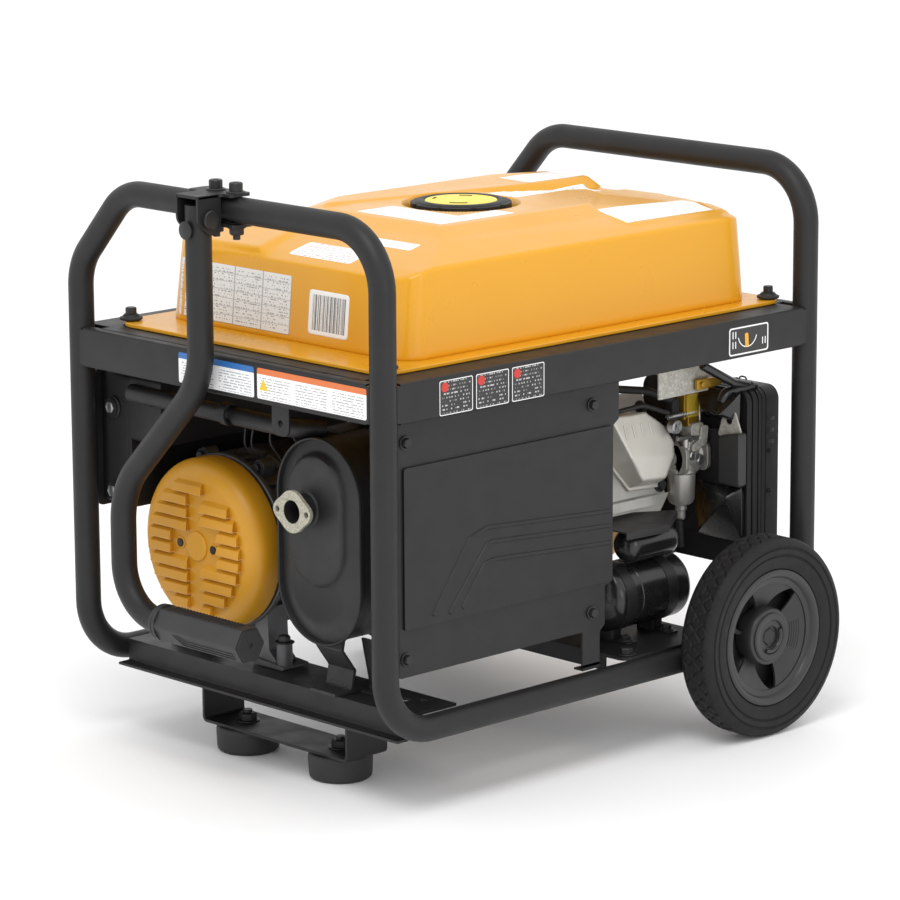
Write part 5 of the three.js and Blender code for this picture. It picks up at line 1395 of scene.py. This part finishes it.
def add_canister():
    can = Room("vapour_canister")
    x0, x1, z = can.x0, can.x1 - 13, 143
    y, r = -150, 34
    along = place("x", (0, y, z))
    curve = [(r * v, x0 + 15 - 15 * u) for u, v in arc(1, 0, 90, 15)]
    profile = [(0, x0)] + curve[1:] + [(r, x0 + 40), (r - 0.8, x0 + 41), (r, x0 + 42), (r, x1 - 30),
                                       (r - 0.8, x1 - 29), (r, x1 - 28)]
    profile += [(cr, x0 + x1 - h) for cr, h in reversed(curve[1:])] + [(0, x1)]
    shape = Shape().add(lathe(profile, 96), along)
    upper = [(17 * v, 92 - 14 * u) for u, v in arc(1, 0, 90, 9)]
    shape.add(lathe([(0, 78)] + upper[1:] + [(cr, 234 - h) for cr, h in reversed(upper[1:])] + [(0, 156)], 64),
              place("x", (0, y - 14, z + 52)))
    shape.add(tube([(x1 - 30, y + 6, z + 20), (x1 - 26, y + 6, z + 44), (x1 - 40, y + 6, z + 56)], [10], 4, 20))
    shape.piece("vapour_canister_body", GLOSS_PLASTIC, "vapour_canister", "black_plastic", 0.4)
    straps = Shape()
    deck = Room("engine_deck")
    for at in (70, 130):
        straps.add(ring(r + 0.7, r - 0.5, at, at + 14, 80), along)
        straps.add(slab(rounded((at, at + 14), (y - 12, y + 12), 2), deck.z1, z - r + 2))
        straps.add(bolt(5, 4, 7), place("z", (at + 7, y - 24, deck.z1 + 2)))
        straps.add(slab(rounded((at, at + 14), (y - 34, y - 8), 2), deck.z1 + 0.2, deck.z1 + 2.2))
    straps.piece("vapour_canister_straps", DARK_STEEL, slot="steel", soft=0.5)
    shield_z = can.z1 - 1.5
    leaf = folded([(66, -186, 2), (122, -190, 12), (178, -150, 3), (122, -116, 12), (66, -112, 2)])
    shape = Shape().add(slab(leaf, shield_z, shield_z + 1.5))
    lip = folded([(66, -186), (122, -190), (178, -150), (178, -148), (122, -188), (66, -184)])
    shape.add(slab(lip, shield_z - 6, shield_z + 0.2))
    shape.add(block((66, 82), (y - 1, y + 1), (z + r - 2, shield_z + 0.5)))
    shape.piece("heat_deflector", RIM_PLASTIC, slot="black_plastic", soft=0.5)


# ---------------------------------------------------------------- starter end
def add_starter():
    shroud, recoil = Room("fan_shroud"), Room("recoil_cover")
    y, z = CRANK.y, CRANK.z
    along = place("x", (0, y, z))
    x0 = shroud.x0
    profile = [(100, x0), (107, x0), (108.6, x0 + 1), (113, x0 + 8), (114, x0 + 12), (114, x0 + 42), (112, x0 + 49),
               (104, x0 + 58),
               (98, x0 + 61), (46, shroud.x1), (46, shroud.x1 - 3), (96, x0 + 57), (102, x0 + 55), (110, x0 + 42),
               (110, x0 + 6), (100, x0 + 4), (100, x0)]
    Shape().add(lathe(profile, 128), along).piece("fan_shroud_pressing", COVER_PAINT, "fan_shroud",
                                                  "cover_yellow", 0.5)
    high = recoil.x1
    shape = Shape()
    skirt = [(80, recoil.x0), (84, recoil.x0), (84, high - 22), (72, high - 6), (66, high - 2), (60, high),
             (57, high), (57, high - 3), (64, high - 5), (70, high - 10), (80, high - 24), (80, recoil.x0)]
    shape.add(lathe(skirt, 96), along)
    shape.add(lathe([(0, high - 4), (18, high - 4), (18, high), (14, high), (0, high)], 64), along)
    for i in range(12):
        spoke = folded([(16, -3.2), (59, -2.4), (59, 2.4), (16, 3.2)])
        shape.add(slab(spoke, high - 6, high - 1.6), along @ Matrix.Rotation(math.radians(30 * i), 4, "Z"))
    for r in (30, 44):
        shape.add(ring(r + 1.6, r - 1.6, high - 5, high - 1, 72), along)
    for i in range(4):
        where = along @ Matrix.Rotation(math.radians(90 * i + 40), 4, "Z")
        shape.add(slab(rounded((78, 92), (-8, 8), 6), recoil.x0 - 0.2, recoil.x0 + 3), where)
        shape.add(bolt(4.4, 4, 7), where @ Matrix.Translation((85, 0, recoil.x0 + 3)), 1)
    shape.piece("recoil_cover_shell", [PLASTIC, DARK_STEEL], "recoil_cover", "black_plastic", 0.6)
    back = Shape().add(lathe([(0, high - 10), (58, high - 10), (58, high - 8.6), (0, high - 8.6)], 64), along)
    back.piece("recoil_pulley", DARK_CAST, slot="cast_metal")
    grip = Room("recoil_grip")
    r = (grip.x1 - grip.x0) / 2
    profile = [(0, -26), (r - 2, -26), (r, -24), (r, -18), (r - 1.6, -12), (r - 1, 0), (r - 1.6, 12), (r, 18),
               (r, 24), (r - 2, 26), (0, 26)]
    Shape().add(lathe(profile, 48), place("y", (grip.x, grip.y, grip.z))).piece(
        "recoil_grip_handle", GRIP_RUBBER, "recoil_grip", "rubber", body="recoil_grip")


# ---------------------------------------------------------------- control panel
def add_controls():
    box, panel = Room("control_box"), Room("control_panel_face")
    x0, x1, y0, z0, z1 = panel.x0 + 8, panel.x1 - 8, 174, box.z0, box.z1
    out = place("y") @ Matrix.Scale(-1, 4, (1, 0, 0))
    shelf_z = 306
    shape = Shape().add(slab(rounded((x0, x1), (z0, z1), 8), y0 + 0.2, box.y1), out)
    shape.add(slab(rounded((x0, x1), (shelf_z, z1), 5), box.y0, y0 + 1), out)
    left = place("-x")
    for v in (252, 337):
        shape.add(lathe([(0, -x0 - 0.5), (11, -x0 - 0.5), (11, -x0 + 2), (9, -x0 + 3), (9, -x0 + 5), (0, -x0 + 5)],
                        40), place("-x", (0, 200, v)))
    for k in range(6):
        v = 266 + k * 8.5
        shape.add(slab(rounded((-189, -183), (v, v + 5), 1), -x0 - 0.5, -x0 + 0.7), left)
    shape.add(slab(rounded((-216, -180), (246, 344), 4), -x0 - 0.5, -x0 + 0.5), left)
    shape.piece("control_box_shell", PLASTIC, "control_box", "black_plastic", 0.8)
    heads = Shape()
    for v in (252, 337):
        heads.add(bolt(6, 2.4, 8), place("-x", (x0 - 3, 200, v)))
    heads.piece("control_box_bolts", STEEL, slot="steel", soft=0.3)

    duplex, lock, switch = Room("duplex_outlet"), Room("locking_outlet"), Room("engine_switch")
    face = panel.y1
    holes = [rounded((duplex.x0 - 0.6, duplex.x1 + 0.6), (duplex.z0 - 0.6, duplex.z1 + 0.6), 3),
             circle(27, 64, (lock.x, lock.z)),
             rounded((switch.x0 - 1, switch.x1 + 1), (switch.z0 - 2, switch.z1 + 2), 1, 2)]
    buttons = [Room("breaker_button_1"), Room("breaker_button_2")]
    holes += [circle(5.3, 32, (button.x, button.z)) for button in buttons]
    shape = Shape().add(slab(rounded((panel.x0, panel.x1), (panel.z0, panel.z1), 8), panel.y0, face, holes), out)
    for x in (panel.x0 + 9, panel.x1 - 9):
        for v in (panel.z0 + 10, panel.z1 - 10):
            shape.add(bolt(4, 2.6, 6), place("y", (x, face, v)), 1)
    shape.add(ring(30.5, 27.4, face - 0.5, face + 1.4, 64), out @ Matrix.Translation((lock.x, lock.z, 0)), 1)
    for x in (-78, -54):
        shape.add(ring(8, 5.6, face - 0.5, face + 1.6, 6), out @ Matrix.Translation((x, 330, 0)), 1)
    meter = rounded((-12, 14), (316, 342), 3)
    shape.add(slab(meter, face - 1, face + 2.4), out)
    shape.piece("control_panel_plate", [HEAT_BLACK, STEEL], "control_panel_face", "black_metal", 0.5)
    lines = Shape()
    for u0, u1, v0, v1 in ((-258, -186, 254, 358), (-160, -80, 250, 358), (-70, 20, 250, 308)):
        rim = rounded((u0, u1), (v0, v1), 5)
        inner = rounded((u0 + 1.2, u1 - 1.2), (v0 + 1.2, v1 - 1.2), 4)
        lines.add(slab(rim, face - 0.2, face + 0.15, [inner]), out)
    lines.piece("control_panel_lines", WHITE_PLASTIC, slot="white_plastic")
    window = Shape().add(slab(rounded((-9, 11), (322, 336), 2), face + 1.5, face + 2.9), out)
    window.piece("hour_meter_window", GLOSS_PLASTIC, slot="black_plastic", soft=0.4)

    for name in ("duplex_outlet", "locking_outlet"):
        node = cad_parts[name]
        node.data.materials[0] = PLASTIC
        weld = node.modifiers.new("weld", "WELD")
        weld.merge_threshold = 0.01 * MM
        edge = node.modifiers.new("rounding", "BEVEL")
        edge.width, edge.segments, edge.angle_limit = 0.5 * MM, 2, math.radians(35)
    for i, button in enumerate(buttons, 1):
        y1 = button.y1
        solid = lathe([(0, button.y0), (7, button.y0), (7, button.y0 + 5), (4.8, button.y0 + 5), (4.8, y1 - 0.8),
                       (4, y1), (0, y1)], 40)
        Shape().add(solid, place("y", (button.x, 0, button.z))).piece(
            f"breaker_button_{i}_knob", WHITE_PLASTIC, f"breaker_button_{i}", "white_plastic", body=f"breaker_{i}")
    x, v, low = switch.x, switch.z, face - 8
    rocker = hull([(x + a, b, v + c) for a in (-7, 7) for b, c in (
        (low, -8), (low, 8), (face + 3, -9.5), (face + 1.9, -5), (face + 1.5, 0), (face + 2.8, 5),
                                                                   (face + 5.5, 9.5))])
    Shape().add(rocker).piece("engine_switch_rocker", RED_PLASTIC, "engine_switch", "red_plastic",
                              0.6, 3, body="engine_switch")


# ---------------------------------------------------------------- fuel valve, loose tubes and wires
def add_fuel_valve():
    x, y = 206, -150
    sheet = Shape().add(slab(folded([(148, 333, 1.5), (222, 333, 1.5), (222, 367), (148, 367)]), 149, 151),
                        place("-y"))
    sheet.add(slab(rounded((148, 222), (-151, -136), 1), 365.6, 367.4))
    sheet.piece("fuel_valve_hanger", ZINC, "fuel_valve", "zinc", 0.4)
    body = Shape().add(lathe([(0, 330), (5, 330), (7, 332), (7, 352), (9, 354), (9, 360), (7, 362), (7, 371),
                              (0, 371)], 32), place("z", (x, y + 14, 0)))
    body.add(rod(8, 131, 149, 32), place("-y", (x, 0, 342)))
    body.add(rod(3, 149, 159, 20), place("-y", (x, 0, 342)))
    body.piece("fuel_valve_body", BRASS, slot="brass", soft=0.5)
    lever = Room("fuel_valve_lever")
    arm = Shape().add(slab(folded([(lever.x0, lever.z0, 2), (lever.x1, lever.z0 + 2, 3), (lever.x1, lever.z1 - 2, 3),
                                   (lever.x0, lever.z1, 2)]), -lever.y1, -lever.y0), place("-y"))
    arm.piece("fuel_valve_lever_arm", BRASS, "fuel_valve_lever", "brass", 0.8, 3, body="fuel_lever")


def add_left_end_fittings():
    tubes = Shape()
    tubes.add(tube([(-272, 168, 356), (-262, 60, 352), (-258, -52, 350), (-230, -70, 348)], [60, 14], 9, 28))
    tubes.add(ring(11.4, 8.8, 24, 34, 40), place("y", (-266, 0, 354)))
    tubes.piece("cross_tube_under_tank", HEAT_BLACK, slot="black_metal", soft=0.3)
    wires = Shape()
    for start, dip, end in (((-250, 20, 360), (-246, 30, 320), (-226, 40, 306)),
                            ((-250, 6, 362), (-252, 14, 322), (-222, 30, 304)),
                            ((-252, -20, 364), (-254, -16, 330), (-224, -4, 302)),
                            ((-250, -34, 362), (-244, -44, 330), (-214, -50, 316))):
        wires.add(tube([start, dip, end], [18], 0.9, 10, 8))
    wires.piece("sensor_wires", WIRE_BLACK, slot="black_plastic")


# ---------------------------------------------------------------- stickers
UP, ALONG, ACROSS, FRONT, LEFT = (0, 0, 1), (1, 0, 0), (0, 1, 0), (0, -1, 0), (-1, 0, 0)


def sticker(name, look, centre, out, up, size, target=None, corner=2.0, bulge=0.25, grid=(14, 10)):
    """A thin sheet with its own 0 to 1 map, lifted by bulge. With a target, it is dropped along -out on its mesh."""
    out, up = Vector(out).normalized(), Vector(up)
    up = (up - out * up.dot(out)).normalized()
    right = up.cross(out)
    tree = None
    if target is not None:
        mesh = target.data
        tree = BVHTree.FromPolygons([TO_FRAME.inverted() @ v.co for v in mesh.vertices],
                                    [tuple(p.vertices) for p in mesh.polygons])
    w, h = size
    made = bmesh.new()
    uv = made.loops.layers.uv.new("map")
    steps_u, steps_v = ([-s / 2, -s / 2 + corner * 0.3, -s / 2 + corner]
                        + [-s / 2 + corner + (s - 2 * corner) * i / count for i in range(1, count)]
                        + [s / 2 - corner, s / 2 - corner * 0.3, s / 2] for s, count in zip(size, grid))
    verts = {}
    for i, u in enumerate(steps_u):
        for k, v in enumerate(steps_v):
            over_u, over_v = abs(u) - (w / 2 - corner), abs(v) - (h / 2 - corner)
            su, sv = u, v
            if over_u > 0 and over_v > 0:
                reach = math.hypot(over_u, over_v)
                limit = max(over_u, over_v)
                su -= math.copysign(over_u * (1 - limit / reach), u)
                sv -= math.copysign(over_v * (1 - limit / reach), v)
            spot = Vector(centre) + right * su + up * sv
            if tree is not None:
                hit = tree.ray_cast(spot + out * 60, -out, 200)
                spot = hit[0] if hit[0] is not None else spot
            spot = spot + out * bulge
            verts[i, k] = (made.verts.new(TO_FRAME @ spot), (u / w + 0.5, v / h + 0.5))
    for i in range(len(steps_u) - 1):
        for k in range(len(steps_v) - 1):
            corners = [verts[i, k], verts[i + 1, k], verts[i + 1, k + 1], verts[i, k + 1]]
            face = made.faces.new([c[0] for c in corners])
            for loop, (_, where) in zip(face.loops, corners):
                loop[uv].uv = where
    data = bpy.data.meshes.new(name)
    made.to_mesh(data)
    made.free()
    data.shade_smooth()
    label = bpy.data.objects.new(name, data)
    bpy.context.scene.collection.objects.link(label)
    data.materials.append(look)
    thick = label.modifiers.new("thickness", "SOLIDIFY")
    thick.thickness = 0.2 * MM
    thick.offset = -1
    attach(label, "frame")


def add_stickers(tank):
    table = printed("rating_table_print", "#e6e6e4", "#6b6d70", 21, 70, columns=4, lines=0.02, fill=0.45)
    bars = striped("bar_print", "#f4f4f2", "#303030", 24, uneven=1.0)
    plain = printed("plain_notice_print", "#f7f6f4", "#a9a4a0", 7, 30, fill=0.4)
    red_notice = printed("red_notice_print", "#f7f6f4", "#b58f8c", 8, 34, fill=0.5)
    diagonal = striped("divided_notice_print", "#faf9f7", "#c8473f", 4, slant=0.25, width=0.03)
    orange = printed("orange_band_print", "#f6f5f3", "#8d8d8c", 11, 60, header="#d8743c", header_share=0.2, columns=3,
                     fill=0.56)
    blue = printed("blue_band_print", "#f4f5f5", "#8b9096", 11, 30, header="#2f6db0", header_share=0.2, columns=2,
                   fill=0.56)
    black_notice = printed("black_notice_print", "#2b2b2c", "#c9c9c8", 9, 26, fill=0.45)
    red_dot = finish("print_red", "#c2332c", 0.4, grain=600, depth=0.0)
    white_line = finish("print_white", "#ededeb", 0.4, grain=600, depth=0.0)
    amber = finish("print_amber", "#eba52c", 0.4, grain=600, depth=0.0)
    dark = finish("print_dark", "#29292a", 0.4, grain=600, depth=0.0)

    end_out = (-1, 0, 0.08)
    shoulder_out = (-0.29, 0, 0.957)
    sticker("rating_label", table, (-218, 72.5, 458.5), end_out, UP, (165, 57), tank)
    sticker("bar_label", bars, (-218, -64, 456.5), end_out, UP, (56, 43), tank, corner=4)
    sticker("shoulder_label", red_notice, (-187, -33, 506), shoulder_out, ALONG, (88, 31), tank, corner=4)
    sticker("slope_label", plain, (-150, -60, 517), shoulder_out, ALONG, (104, 16), tank, corner=2)
    sticker("plateau_label", plain, (-68.5, -28, 531), UP, ALONG, (120, 49), tank, corner=1.5)
    sticker("plateau_label_side", plain, (-18, -74.5, 531), UP, ALONG, (27, 52), tank, corner=1.5)
    sticker("deck_label", diagonal, (166, -128, 523), (-0.05, -0.1, 1), ACROSS, (126, 42), tank, corner=2)
    sticker("valley_label", plain, (144, 4, 525), UP, ACROSS, (150, 40), tank, corner=2)
    sticker("ridge_label", diagonal, (194, 60, 534), UP, ACROSS, (78, 46), tank, corner=2)
    for k, y in enumerate((2, -68)):
        stroke = [(-199, y, 503.4), (-176, y - 9, 510.6)] if k else [(-176, y, 510.6), (-199, y - 6, 503.4)]
        arrow = Shape().add(sweep(stroke, [(-1.1, -0.3), (1.1, -0.3), (1.1, 0.5), (-1.1, 0.5)], up=UP))
        arrow.piece(f"shoulder_label_stroke_{k + 1}", red_dot)

    front = -RAIL.y1
    for k in range(3):
        x = -209.5 + k * 47.3
        sticker(f"rail_notice_{k + 1}", black_notice, (x, front, 399.5), FRONT, UP, (43, 33), corner=2, bulge=0.2)
        edge = Shape().add(slab(rounded((x - 21.5, x + 21.5), (383, 416), 2), -front, -front + 0.3,
                                [rounded((x - 20.7, x + 20.7), (383.8, 415.2), 1.6)]), place("-y"))
        edge.piece(f"rail_notice_{k + 1}_edge", white_line)
        dot = Shape().add(rod(4.6, -front, -front + 0.35, 32), place("-y", (x - 14.5, 0, 409.5)))
        dot.piece(f"rail_notice_{k + 1}_dot", red_dot)
    sticker("lever_notice", dark, (196, front, 399), FRONT, UP, (60, 30), corner=3, bulge=0.2)
    rim = Shape().add(slab(rounded((167, 225), (385, 413), 3), -front, -front + 0.4,
                           [rounded((168.4, 223.6), (386.4, 411.6), 2.2)]), place("-y"))
    scale = [(u, front - 0.3, v) for u, v in arc(14, -165, -15, 15, (194, 406))]
    rim.add(sweep(scale, [(-0.5, -0.15), (0.5, -0.15), (0.5, 0.1), (-0.5, 0.1)], up=FRONT))
    for u, v in ((172, 402), (172, 392), (216, 392)):
        rim.add(slab(rounded((u, u + 1.2), (v, v + 7), 0.3, 2), -front, -front + 0.4), place("-y"))
        rim.add(slab(rounded((u + 4, u + 5.2), (v, v + 7), 0.3, 2), -front, -front + 0.4), place("-y"))
    rim.piece("lever_notice_lines", white_line)
    mark = Shape().add(slab(folded([(191, 392, 1), (196, 392, 1), (195, 406, 2), (190, 406, 2)]), -front,
                            -front + 0.45), place("-y"))
    mark.piece("lever_notice_mark", amber)

    left = -SIDE_RAIL.x1
    sticker("blue_band_label", blue, (left, 3.8, 401), LEFT, UP, (109, 29.6), corner=2, bulge=0.2)
    sticker("orange_band_label", orange, (left, -130.8, 401.2), LEFT, UP, (151, 29.4), corner=2, bulge=0.2)
    yellow = Shape().add(slab([(58.5, 395), (70.5, 395), (64.5, 406)], -left, -left + 0.4), place("-x"))
    yellow.piece("caution_triangle", finish("print_yellow", "#e8c531", 0.4, grain=600, depth=0.0))


add_camera()
add_studio()
add_tubes()
add_upper_rails()
add_beams()
add_feet()
add_wheel("front_wheel", -1)
add_wheel("back_wheel", 1)
add_axles()
add_heat_shield()
add_handle()
tank = add_tank()
add_tank_bolts()
add_cap()
add_muffler()
add_end_cover()
add_alternator()
add_engine()
add_carburettor()
add_air_cleaner()
add_canister()
add_starter()
add_controls()
add_fuel_valve()
add_left_end_fittings()
add_stickers(tank)
